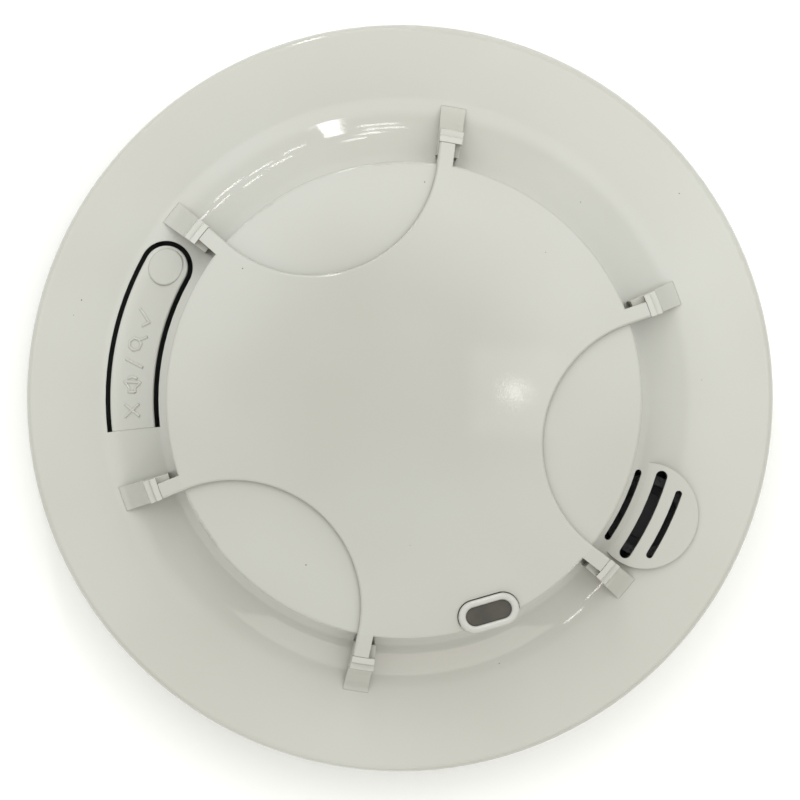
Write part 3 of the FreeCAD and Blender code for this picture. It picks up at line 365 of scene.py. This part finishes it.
@dataclass(frozen=True)
class CellFoam(Finish):
    """Closed-cell foam, die cut: matt, with open pores on its cut faces."""

    name: str
    colour: str
    pore_shade: str
    pore_mm: float = 0.5
    pore_range: tuple[float, float] = (0.1, 0.6)
    pit_mm: float = 0.08
    roughness: float = 0.92
    ior: float = 1.5

    def dress(self, tree: bpy.types.NodeTree, shader: bpy.types.Node) -> None:
        """Builds pores as pits, with painted shade darkening their insides.

        Args:
            tree: The material's node tree.
            shader: Its Principled shader.
        """
        coords = add_node(tree, "ShaderNodeTexCoord").outputs["Object"]
        pores = add_node(tree, "ShaderNodeTexVoronoi", {},
                         {"Vector": coords, "Scale": per_mm(self.pore_mm)})
        wall = add_node(tree, "ShaderNodeMapRange", {},
                        {"Value": pores.outputs["Distance"], "From Min": self.pore_range[0],
                         "From Max": self.pore_range[1]})
        # painted shade: the pits' insides take the darker pore colour
        shade = add_node(tree, "ShaderNodeMix", {"data_type": "RGBA"},
                         {0: wall.outputs[0], 6: linear(self.pore_shade), 7: linear(self.colour)})
        pits = add_node(tree, "ShaderNodeBump", {},
                        {"Distance": self.pit_mm * MM, "Height": wall.outputs[0]})
        shader.inputs["Roughness"].default_value = self.roughness
        shader.inputs["IOR"].default_value = self.ior
        tree.links.new(shade.outputs[2], shader.inputs["Base Color"])
        tree.links.new(pits.outputs[0], shader.inputs["Normal"])


@dataclass(frozen=True)
class BoardLaminate(Finish):
    """Glass laminate under green solder mask, with copper tracks showing through."""

    name: str
    mask: str = "12281C"
    track: str = "1B3A28"
    track_pitch_mm: float = 2.54
    track_width: float = 0.3
    track_step_mm: float = 0.035
    roughness: float = 0.3
    ior: float = 1.55

    def dress(self, tree: bpy.types.NodeTree, shader: bpy.types.Node) -> None:
        """Builds a grid of raised tracks under a glossy mask.

        Args:
            tree: The material's node tree.
            shader: Its Principled shader.
        """
        coords = add_node(tree, "ShaderNodeTexCoord").outputs["Object"]
        jog = add_node(tree, "ShaderNodeTexVoronoi", {"distance": "MANHATTAN",
                                                      "feature": "DISTANCE_TO_EDGE"},
                       {"Vector": coords, "Scale": per_mm(2 * self.track_pitch_mm)})
        line = add_node(tree, "ShaderNodeMapRange", {},
                        {"Value": jog.outputs["Distance"], "From Min": 0.0,
                         "From Max": self.track_width, "To Min": 1.0, "To Max": 0.0})
        tint = add_node(tree, "ShaderNodeMix", {"data_type": "RGBA"},
                        {0: line.outputs[0], 6: linear(self.mask), 7: linear(self.track)})
        step = add_node(tree, "ShaderNodeBump", {},
                        {"Distance": self.track_step_mm * MM, "Height": line.outputs[0]})
        shader.inputs["Roughness"].default_value = self.roughness
        shader.inputs["IOR"].default_value = self.ior
        tree.links.new(tint.outputs[2], shader.inputs["Base Color"])
        tree.links.new(step.outputs[0], shader.inputs["Normal"])


@dataclass(frozen=True)
class PaperFloor(Finish):
    """Matt white background paper."""

    name: str
    colour: str = "FBFBFA"
    fibre_mm: float = 1.5
    fibre_depth_mm: float = 0.02
    roughness: float = 0.95

    def dress(self, tree: bpy.types.NodeTree, shader: bpy.types.Node) -> None:
        """Builds the paper's faint fibres.

        Args:
            tree: The material's node tree.
            shader: Its Principled shader.
        """
        coords = add_node(tree, "ShaderNodeTexCoord").outputs["Object"]
        fibre = add_node(tree, "ShaderNodeTexNoise", {},
                         {"Vector": coords, "Scale": per_mm(self.fibre_mm), "Detail": 3.0})
        bump = add_node(tree, "ShaderNodeBump", {},
                        {"Distance": self.fibre_depth_mm * MM, "Height": fibre.outputs[0]})
        shader.inputs["Base Color"].default_value = linear(self.colour)
        shader.inputs["Roughness"].default_value = self.roughness
        tree.links.new(bump.outputs[0], shader.inputs["Normal"])


class Finishes:
    """Every finish on the alarm, by what it is."""

    # ABS from a polished tool: warm greyish white, glossy, with slow waves in its reflections
    cover = MouldedPlastic("abs_gloss_moulded", "B4B4AD", "B0AFA7", 0.03, smudge=0.03)
    # painted shade: the cover's ABS made a shade darker on the cap, which reflects a darker part
    # of the room
    cap = MouldedPlastic("abs_gloss_moulded_cap_shaded", "ADADA6", "A9A8A0", 0.03, smudge=0.03)
    # the same ABS in a whiter batch, for the small collar round the lamp
    bezel = MouldedPlastic("abs_white_moulded", "B4B3AE", "AFAEA8", 0.16, tone_mm=6.0)
    # ABS from a spark-eroded tool: an even satin with a fine grain
    housing = MouldedPlastic("abs_satin_moulded", "B4B4AC", "AEADA5", 0.42, grain_mm=0.5,
                             grain_depth_mm=0.03)
    plate = MouldedPlastic("abs_plate_moulded", "B1B0A8", "AAA9A0", 0.48, grain_mm=0.6,
                           grain_depth_mm=0.035)
    # black ABS, light-absorbing: deep matt so stray light dies in the chamber
    dark = MouldedPlastic("abs_black_matt", "17171A", "1E1E20", 0.6, grain_mm=0.4,
                          grain_depth_mm=0.03, corner_shade="2A2A2A")
    switch = MouldedPlastic("pbt_glass_filled", "202124", "2A2B2E", 0.5, grain_mm=0.3,
                            grain_depth_mm=0.02, corner_shade="1A1A1A")
    plunger = MouldedPlastic("pom_natural", "D9D5C8", "D2CDBE", 0.35, ior=1.48)
    chip = MouldedPlastic("epoxy_transfer_moulded", "1A1B1D", "222326", 0.55, grain_mm=0.12,
                          grain_depth_mm=0.01, corner_shade="101010")
    ferrite = MouldedPlastic("ferrite_sintered", "2B2A2B", "353334", 0.6, grain_mm=0.2,
                             grain_depth_mm=0.03, corner_shade="1C1B1B", ior=2.0)
    wrap = MouldedPlastic("pvc_shrink_wrap", "2C4566", "35517A", 0.28, wave_mm=2.5,
                          wave_depth_mm=0.03, corner_shade="1C2C44")
    # acrylic: the window smoked brown, the guide water clear
    window = ClearMoulding("acrylic_smoked", "44413B", "605C53", 0.35)
    guide = ClearMoulding("acrylic_clear", "F4F6F6", "E8ECEC", 0.95, 0.05)
    led = ClearMoulding("epoxy_cast_red", "A81410", "8E0E0C", 0.6, 0.08, 1.54)
    optic = ClearMoulding("epoxy_cast_tinted", "4A5564", "38404C", 0.5, 0.1, 1.54)
    # metals
    screen = Metal("steel_wire_drawn", "BDBBB5", "8F8C84", 0.3)
    spring = Metal("steel_spring_plated", "C4C2BC", "9A978F", 0.25)
    nickel = Metal("nickel_strip_rolled", "C9C3B6", "A79F8E", 0.22, (2.5, 0.15, 0.15))
    zinc = Metal("steel_zinc_plated", "C2C3C1", "9B9C99", 0.32)
    can = Metal("aluminium_can_drawn", "D0D2D6", "B3B5BA", 0.28)
    # painted shade: the sounder's brass disc made near black, so that the deep slots over it
    # read dark
    shade_black_disc = MouldedPlastic("brass_painted_shade_black", "0D0D0E", "131314", 0.5, corner_shade="0E0E0F")
    foam = CellFoam("polyurethane_foam", "2B2B2C", "121213")
    board = BoardLaminate("glass_laminate_masked")


def dress_node(name: str, finish: Finish) -> None:
    """Gives a CAD node its finish, and says so.

    Args:
        name: The CAD node.
        finish: What it is made of.
    """
    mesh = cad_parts[name].data
    mesh.materials.clear()
    mesh.materials.append(finish.material())
    LOG.info("cad node %s: %s", name, finish.name)


def new_piece(name: str, mesh: bpy.types.Mesh, body: Body) -> bpy.types.Object:
    """Puts a finished mesh in the scene as a piece that rides on a body.

    Args:
        name: The piece's name.
        mesh: Its mesh, already in place in the frame.
        body: The CAD body that it rides on.

    Returns:
        The piece.
    """
    piece = bpy.data.objects.new(name, mesh)
    bpy.context.scene.collection.objects.link(piece)
    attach(piece, body.value)
    LOG.info("piece %s: %d faces, rides on %s", name, len(mesh.polygons), body.value)
    return piece


@dataclass
class GeometryTree:
    """A geometry node tree with named inputs, run once to make a plain mesh."""

    name: str
    tree: bpy.types.NodeTree = field(init=False)
    source: bpy.types.Node = field(init=False)
    values: dict[str, object] = field(default_factory=dict)

    def __post_init__(self) -> None:
        """Starts the tree with its geometry in and out."""
        self.tree = bpy.data.node_groups.new(self.name, "GeometryNodeTree")
        self.tree.interface.new_socket("Geometry", in_out="INPUT",
                                       socket_type="NodeSocketGeometry")
        self.tree.interface.new_socket("Geometry", in_out="OUTPUT",
                                       socket_type="NodeSocketGeometry")
        self.source = add_node(self.tree, "NodeGroupInput")

    def takes(self, name: str, value: float | int) -> bpy.types.NodeSocket:
        """Adds a named size or count.

        Args:
            name: What the input is called.
            value: What it is set to; a whole number makes it a count.

        Returns:
            The socket that gives it inside the tree.
        """
        kind = "NodeSocketInt" if isinstance(value, int) else "NodeSocketFloat"
        self.tree.interface.new_socket(name, in_out="INPUT", socket_type=kind)
        self.values[name] = value
        return self.source.outputs[name]

    def add(self, kind: str, settings: dict[str, object] | None = None,
            inputs: dict[str | int, object] | None = None) -> bpy.types.Node:
        """Adds a node to this tree, as add_node does."""
        return add_node(self.tree, kind, settings, inputs)

    def mesh(self, result: bpy.types.NodeSocket, material: bpy.types.Material,
             start: bpy.types.Mesh | None = None) -> bpy.types.Mesh:
        """Ends the tree, runs it on a mesh and takes the mesh that comes out.

        Args:
            result: The geometry that the tree ends with.
            material: What the mesh is made of.
            start: The mesh that the tree is given, or none.

        Returns:
            The finished mesh.
        """
        real = self.add("GeometryNodeRealizeInstances", {}, {0: result})
        dressed = self.add("GeometryNodeSetMaterial", {},
                           {"Geometry": real.outputs[0], "Material": material})
        self.add("NodeGroupOutput", {}, {0: dressed.outputs[0]})
        base = start or bpy.data.meshes.new(self.name + "_start")
        carrier = bpy.data.objects.new(self.name + "_carrier", base)
        bpy.context.scene.collection.objects.link(carrier)
        modifier = carrier.modifiers.new(self.name, "NODES")
        modifier.node_group = self.tree
        for item in self.tree.interface.items_tree:
            if item.in_out == "INPUT" and item.name in self.values:
                modifier[item.identifier] = self.values[item.name]
        shape = carrier.evaluated_get(bpy.context.evaluated_depsgraph_get())
        made = bpy.data.meshes.new_from_object(shape)
        carrier.modifiers.remove(modifier)
        bpy.data.objects.remove(carrier)
        return made


@dataclass
class InsectScreen:
    """Fine steel screen round the smoke chamber: upright wires inside, hoops outside."""

    pitch_mm: float = 1.25
    wire_mm: float = 0.15
    wire_sides: int = 6

    def build(self) -> bpy.types.Object:
        """Makes the screen on the place of the CAD's plain sleeve.

        Returns:
            The screen.
        """
        low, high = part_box("insect_mesh")
        outer = high.x
        wire = self.wire_mm * MM
        pitch = self.pitch_mm * MM
        tall = high.z - low.z
        uprights = round(2 * math.pi * outer / pitch)
        hoops = int(tall / pitch) + 1
        tree = GeometryTree("insect_screen_tree")
        upright_radius = tree.takes("Upright Ring Radius", outer - 1.5 * wire)
        hoop_radius = tree.takes("Hoop Radius", outer - 0.5 * wire)
        wire_radius = tree.takes("Wire Radius", wire / 2)
        height = tree.takes("Height", tall)
        upright_count = tree.takes("Upright Count", uprights)
        hoop_count = tree.takes("Hoop Count", hoops)
        ring = tree.add("GeometryNodeMeshCircle", {},
                        {"Vertices": upright_count, "Radius": upright_radius})
        rod = tree.add("GeometryNodeMeshCylinder", {},
                       {"Vertices": self.wire_sides, "Radius": wire_radius, "Depth": height})
        stand = tree.add("GeometryNodeTransform", {},
                         {"Geometry": rod.outputs["Mesh"],
                          "Translation": (0.0, 0.0, low.z + tall / 2)})
        rods = tree.add("GeometryNodeInstanceOnPoints", {},
                        {"Points": ring.outputs[0], "Instance": stand.outputs[0]})
        line = tree.add("GeometryNodeMeshLine", {},
                        {"Count": hoop_count, "Start Location": (0.0, 0.0, low.z + wire / 2),
                         "Offset": (0.0, 0.0, (tall - wire) / (hoops - 1))})
        hoop_path = tree.add("GeometryNodeCurvePrimitiveCircle", {},
                             {"Resolution": uprights, "Radius": hoop_radius})
        section = tree.add("GeometryNodeCurvePrimitiveCircle", {},
                           {"Resolution": self.wire_sides, "Radius": wire_radius})
        hoop = tree.add("GeometryNodeCurveToMesh", {},
                        {"Curve": hoop_path.outputs[0], "Profile Curve": section.outputs[0]})
        hoops_at = tree.add("GeometryNodeInstanceOnPoints", {},
                            {"Points": line.outputs[0], "Instance": hoop.outputs[0]})
        both = tree.add("GeometryNodeJoinGeometry")
        tree.tree.links.new(rods.outputs[0], both.inputs[0])
        tree.tree.links.new(hoops_at.outputs[0], both.inputs[0])
        mesh = tree.mesh(both.outputs[0], Finishes.screen.material())
        screen = new_piece("insect_screen", mesh, Body.HEAD)
        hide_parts("insect_mesh")
        return screen


class Sign(Enum):
    """Raised signs on the test tongue, as strokes on a square from -1 to 1.

    The first number of a point runs round the tongue and the second away from the axis.
    """

    TICK = (((-0.9, 0.0), (-0.3, -0.7), (0.9, 0.8)),)
    LOUPE = (((-0.9, 0.3), (-0.6, 0.8), (0.0, 0.9), (0.4, 0.5), (0.4, 0.0), (0.0, -0.4),
              (-0.6, -0.3), (-0.9, 0.3)), ((0.3, -0.1), (0.9, -0.9)))
    SLASH = (((-0.35, -1.0), (0.35, 1.0)),)
    SPEAKER = (((-0.9, -0.35), (-0.4, -0.35), (0.2, -0.9), (0.2, 0.9), (-0.4, 0.35),
                (-0.9, 0.35), (-0.9, -0.35)), ((0.6, -0.5), (0.8, 0.0), (0.6, 0.5)))
    CROSS = (((-0.7, -0.8), (0.7, 0.8)), ((-0.7, 0.8), (0.7, -0.8)))


@dataclass
class TestTongue:
    """Test tongue in the skirt, with raised signs for testing and muting on it."""

    radius_mm: float = 43.15
    sign_half_mm: float = 1.45
    stroke_mm: float = 0.24
    stroke_sides: int = 10
    sink_mm: float = 0.03
    sample_mm: float = 0.25
    width_mm: float = 6.95
    root_angle: float = 186.46
    web_mm: float = 0.056
    web_depth_mm: float = 1.2
    web_steps: int = 12
    skirt_radius_mm: float = 15.0
    skirt_centre_mm: tuple[float, float] = (49.707, 38.943)
    signs: tuple[tuple[Sign, float], ...] = (
        (Sign.TICK, 162.6), (Sign.LOUPE, 168.0), (Sign.SLASH, 172.4), (Sign.SPEAKER, 176.8),
        (Sign.CROSS, 182.4))

    def on_skirt(self, around: float, out: float, angle: float) -> Vector:
        """Point of a sign laid on the hollow skirt.

        Args:
            around: Distance round the tongue from the sign's middle, in mm.
            out: Distance up the slope towards the axis, taken in plan, in mm.
            angle: Where the sign's middle stands, in degrees.

        Returns:
            The point, in metres.
        """
        radius = self.radius_mm + out
        turn = math.radians(angle) - around / self.radius_mm
        centre_radius, centre_height = self.skirt_centre_mm
        drop = math.sqrt(self.skirt_radius_mm ** 2 - (centre_radius - radius) ** 2)
        height = centre_height - drop - self.sink_mm
        return Vector((radius * math.cos(turn), radius * math.sin(turn), height)) * MM

    def stroke_points(self, stroke: tuple[tuple[float, float], ...],
                      angle: float) -> list[Vector]:
        """Points along one stroke, close enough to follow the skirt.

        Args:
            stroke: The stroke's corners on the sign's square.
            angle: Where the sign's middle stands, in degrees.

        Returns:
            The points, in metres.
        """
        size = self.sign_half_mm
        points: list[Vector] = []
        for start, end in zip(stroke, stroke[1:]):
            count = max(2, round(math.dist(start, end) * size / self.sample_mm))
            for step in range(count):
                part = step / count
                around = (start[0] + (end[0] - start[0]) * part) * size
                out = (start[1] + (end[1] - start[1]) * part) * size
                points.append(self.on_skirt(around, out, angle))
        points.append(self.on_skirt(stroke[-1][0] * size, stroke[-1][1] * size, angle))
        return points

    def web(self) -> bpy.types.Object:
        """Makes the thin web that joins the tongue's root to the skirt.

        Returns:
            The web.
        """
        half = self.web_mm / 2
        points: list[Vector] = []
        for step in range(self.web_steps + 1):
            out = self.width_mm * (step / self.web_steps - 0.5)
            for around in (-half, half):
                top = self.on_skirt(around, out, self.root_angle) + self.sink_mm * UP * MM
                points += [top, top - self.web_depth_mm * UP * MM]
        faces = [(0, 1, 3, 2)]
        for step in range(self.web_steps):
            first, after = 4 * step, 4 * step + 4
            for corner, following in ((0, 2), (2, 3), (3, 1), (1, 0)):
                faces.append((first + corner, first + following, after + following,
                              after + corner))
        last = 4 * self.web_steps
        faces.append((last, last + 2, last + 3, last + 1))
        mesh = bpy.data.meshes.new("tongue_web")
        mesh.from_pydata(points, [], faces)
        shell = bmesh.new()
        shell.from_mesh(mesh)
        bmesh.ops.recalc_face_normals(shell, faces=shell.faces)
        shell.to_mesh(mesh)
        shell.free()
        mesh.materials.append(Finishes.cover.material())
        return new_piece("tongue_web", mesh, Body.HEAD)

    def build(self) -> bpy.types.Object:
        """Dresses the tongue and lays its raised signs on it.

        Returns:
            The piece that holds the signs.
        """
        dress_node("test_button", Finishes.cover)
        self.web()
        points: list[Vector] = []
        edges: list[tuple[int, int]] = []
        for sign, angle in self.signs:
            for stroke in sign.value:
                line = self.stroke_points(stroke, angle)
                first = len(points)
                points.extend(line)
                edges.extend((first + i, first + i + 1) for i in range(len(line) - 1))
        paths = bpy.data.meshes.new("sign_paths")
        paths.from_pydata(points, edges, [])
        tree = GeometryTree("raised_signs_tree")
        stroke_radius = tree.takes("Stroke Radius", self.stroke_mm * MM)
        lines = tree.add("GeometryNodeMeshToCurve", {}, {0: tree.source.outputs["Geometry"]})
        section = tree.add("GeometryNodeCurvePrimitiveCircle", {},
                           {"Resolution": self.stroke_sides, "Radius": stroke_radius})
        bead = tree.add("GeometryNodeCurveToMesh", {},
                        {"Curve": lines.outputs[0], "Profile Curve": section.outputs[0],
                         "Fill Caps": True})
        smooth = tree.add("GeometryNodeSetShadeSmooth", {}, {"Geometry": bead.outputs[0]})
        mesh = tree.mesh(smooth.outputs[0], Finishes.cover.material(), paths)
        return new_piece("tongue_signs", mesh, Body.BUTTON)


class FrontCover:
    """Cover, cap and the lamp's collar and window: all that faces the room."""

    def build(self) -> None:
        """Dresses the shells that face the room."""
        dress_node("front_cover", Finishes.cover)
        dress_node("cap_feet", Finishes.cover)
        dress_node("smoke_cap", Finishes.cap)
        dress_node("lamp_bezel", Finishes.bezel)
        dress_node("lamp_window", Finishes.window)
        dress_node("light_guide", Finishes.guide)
        dress_node("indicator_led", Finishes.led)


class BackShell:
    """Ceiling plate, rear housing, battery lid, cell and its contacts."""

    def build(self) -> None:
        """Dresses what faces the ceiling and the cell behind its lid."""
        dress_node("mounting_plate", Finishes.plate)
        dress_node("rear_housing", Finishes.housing)
        dress_node("battery_cover", Finishes.housing)
        dress_node("battery", Finishes.wrap)
        dress_node("plus_contact", Finishes.nickel)
        dress_node("minus_contact", Finishes.nickel)
        dress_node("contact_spring", Finishes.spring)
        dress_node("case_screws", Finishes.zinc)


class Electronics:
    """Board with its chip, capacitor, coil and switch, and the sounder."""

    def build(self) -> None:
        """Dresses the board and all that stands on it."""
        dress_node("circuit_board", Finishes.board)
        dress_node("board_screws", Finishes.zinc)
        dress_node("controller_chip", Finishes.chip)
        dress_node("storage_capacitor", Finishes.can)
        dress_node("boost_coil", Finishes.ferrite)
        dress_node("switch_body", Finishes.switch)
        dress_node("switch_plunger", Finishes.plunger)
        dress_node("sounder_case", Finishes.dark)
        dress_node("sounder_disc", Finishes.shade_black_disc)
        dress_node("sounder_gasket", Finishes.foam)


@dataclass
class SmokeChamber:
    """Optical chamber with its two optics, its seal and the screen round it."""

    screen: InsectScreen = field(default_factory=InsectScreen)

    def build(self) -> None:
        """Dresses the chamber and puts the wire screen round it."""
        dress_node("chamber_base", Finishes.dark)
        dress_node("chamber_lid", Finishes.dark)
        dress_node("ir_emitter", Finishes.optic)
        dress_node("photodiode", Finishes.optic)
        dress_node("well_seal", Finishes.foam)
        self.screen.build()


@dataclass(frozen=True)
class SoftLamp:
    """One area light of the studio."""

    name: str
    place: tuple[float, float, float]
    aim: tuple[float, float, float]
    size: tuple[float, float]
    watts: float
    colour: str = "FFFFFF"

    def build(self) -> bpy.types.Object:
        """Hangs the light in its place and turns it to what it lights.

        Returns:
            The light.
        """
        data = bpy.data.lights.new(self.name, "AREA")
        data.shape = "RECTANGLE"
        data.size, data.size_y = self.size
        data.energy = self.watts
        data.color = linear(self.colour)[:3]
        lamp = bpy.data.objects.new(self.name, data)
        bpy.context.scene.collection.objects.link(lamp)
        lamp.location = self.place
        away = Vector(self.aim) - Vector(self.place)
        lamp.rotation_euler = away.to_track_quat("-Z", "Y").to_euler()
        return lamp


@dataclass
class Studio:
    """Pale floor, soft light and the camera over the alarm's face."""

    rim_height_mm: float = 19.7
    camera_distance_mm: float = 970.0
    camera_lean: tuple[float, float] = (-0.0412, 0.016)
    aim_mm: tuple[float, float] = (-0.04, -0.28)
    view_width_mm: float = 128.88
    sensor_mm: float = 36.0
    floor_size_m: float = 6.0
    floor_gap_mm: float = 0.1
    lamps: tuple[SoftLamp, ...] = (
        SoftLamp("south_low", (0.0, -1.6, 0.9), (0, 0, 0.03), (2.0, 1.0), 8.5, "FFF8EE"),
        SoftLamp("glare_core", (0.235, -0.005, 1.2), (0, 0, 0), (0.03, 0.03), 0.02),
        SoftLamp("glare_halo", (0.235, -0.005, 1.21), (0, 0, 0), (0.15, 0.15), 0.06),
        SoftLamp("pane", (-0.195, 0.966, 1.132), (0, 0, 0.03), (0.065, 0.5), 1.6),
    )
    # small lights that draw short bright dashes on the skirt: azimuth, polar angle, length
    glints: tuple[tuple[float, float, float], ...] = (
        (92.0, 46.0, 0.16), (91.0, 51.0, 0.18), (94.0, 56.0, 0.14), (98.0, 61.0, 0.10),
        (111.0, 50.0, 0.10), (115.0, 57.0, 0.12), (120.0, 52.0, 0.12), (123.0, 60.0, 0.10),
        (128.0, 49.0, 0.14), (131.0, 56.0, 0.12), (137.0, 53.0, 0.10), (-43.0, 52.0, 0.12),
        (-50.0, 46.0, 0.08))
    glint_distance: float = 1.5
    glint_width: float = 0.035
    glint_watts_per_metre: float = 1.25
    sky: str = "F1F2F0"
    sky_strength: float = 3.0
    sky_stops: tuple[tuple[float, float], ...] = (
        (0.0, 0.22), (0.07, 0.28), (0.18, 0.84), (0.27, 0.80), (0.45, 0.36), (1.0, 0.31))
    sky_south: float = 0.6
    sky_north: float = 1.3
    sky_west: float = 0.95
    sky_east: float = 1.08
    sky_side: float = 0.3

    def build(self) -> None:
        """Sets the floor, the lights, the sky and the camera."""
        self.lay_floor()
        for lamp in self.lamps:
            lamp.build()
        self.hang_glints()
        world = bpy.data.worlds.new("studio_sky")
        world.use_nodes = True
        tree = world.node_tree
        glow = tree.nodes["Background"]
        glow.inputs["Color"].default_value = linear(self.sky)
        tree.links.new(self.sky_glow(tree), glow.inputs["Strength"])
        bpy.context.scene.world = world
        bpy.context.scene.view_settings.view_transform = "Standard"
        self.set_camera()

    def hang_glints(self) -> None:
        """Hangs the small lights round the north and the south-east of the sky."""
        for azimuth, polar, length in self.glints:
            level = self.glint_distance * math.sin(math.radians(polar))
            place = (level * math.cos(math.radians(azimuth)),
                     level * math.sin(math.radians(azimuth)),
                     self.glint_distance * math.cos(math.radians(polar)))
            SoftLamp("glint", place, (0.0, 0.0, 0.0), (length, self.glint_width),
                     length * self.glint_watts_per_metre).build()

    def sky_glow(self, tree: bpy.types.NodeTree) -> bpy.types.NodeSocket:
        """Soft ring of light round a darker zenith, stronger to the north than the south.

        Args:
            tree: The world's node tree.

        Returns:
            The strength socket.
        """
        way = add_node(tree, "ShaderNodeTexCoord").outputs["Generated"]
        split = add_node(tree, "ShaderNodeSeparateXYZ", {}, {0: way})
        polar = add_node(tree, "ShaderNodeMath", {"operation": "ARCCOSINE"},
                         {0: split.outputs["Z"]})
        share = add_node(tree, "ShaderNodeMath", {"operation": "DIVIDE"},
                         {0: polar.outputs[0], 1: math.pi / 2})
        ring = add_node(tree, "ShaderNodeValToRGB", {}, {0: share.outputs[0]})
        ring.color_ramp.interpolation = "EASE"
        stops = ring.color_ramp.elements
        for place, level in self.sky_stops[1:-1]:
            stops.new(place).color = (level, level, level, 1.0)
        for stop, (_, level) in ((stops[0], self.sky_stops[0]), (stops[-1], self.sky_stops[-1])):
            stop.color = (level, level, level, 1.0)
        glow = ring.outputs["Color"]
        for axis, low, high in (("Y", self.sky_south, self.sky_north),
                                ("X", self.sky_west, self.sky_east)):
            side = add_node(tree, "ShaderNodeMapRange", {"interpolation_type": "SMOOTHSTEP"},
                            {"Value": split.outputs[axis], "From Min": -self.sky_side,
                             "From Max": self.sky_side, "To Min": low, "To Max": high})
            glow = add_node(tree, "ShaderNodeMath", {"operation": "MULTIPLY"},
                            {0: glow, 1: side.outputs[0]}).outputs[0]
        return add_node(tree, "ShaderNodeMath", {"operation": "MULTIPLY"},
                        {0: glow, 1: self.sky_strength}).outputs[0]

    def lay_floor(self) -> None:
        """Lays the pale floor that the alarm lies on."""
        half = self.floor_size_m / 2
        mesh = bpy.data.meshes.new("floor")
        low = -self.floor_gap_mm * MM
        corners = [(-half, -half, low), (half, -half, low), (half, half, low),
                   (-half, half, low)]
        mesh.from_pydata(corners, [], [(0, 1, 2, 3)])
        mesh.materials.append(PaperFloor("paper_matt").material())
        floor = bpy.data.objects.new("floor", mesh)
        bpy.context.scene.collection.objects.link(floor)

    def set_camera(self) -> None:
        """Stands the camera a little left of and above the axis, looking down."""
        aim = Vector((self.aim_mm[0], self.aim_mm[1], self.rim_height_mm)) * MM
        lean = Vector((self.camera_lean[0], self.camera_lean[1], 1.0)).normalized()
        data = bpy.data.cameras.new("camera")
        data.sensor_width = self.sensor_mm
        data.lens = self.sensor_mm * self.camera_distance_mm / self.view_width_mm
        camera = bpy.data.objects.new("camera", data)
        bpy.context.scene.collection.objects.link(camera)
        camera.location = aim + lean * self.camera_distance_mm * MM
        right = Vector((0.0, 1.0, 0.0)).cross(lean).normalized()
        above = lean.cross(right)
        camera.rotation_euler = Matrix((right, above, lean)).transposed().to_euler()
        bpy.context.scene.camera = camera


def main() -> None:
    """Builds the alarm from the ceiling plate out, then the studio round it."""
    logging.basicConfig(level=logging.INFO, format="%(name)s %(message)s")
    BackShell().build()
    Electronics().build()
    SmokeChamber().build()
    FrontCover().build()
    TestTongue().build()
    Studio().build()


if __name__ == "__main__":
    main()
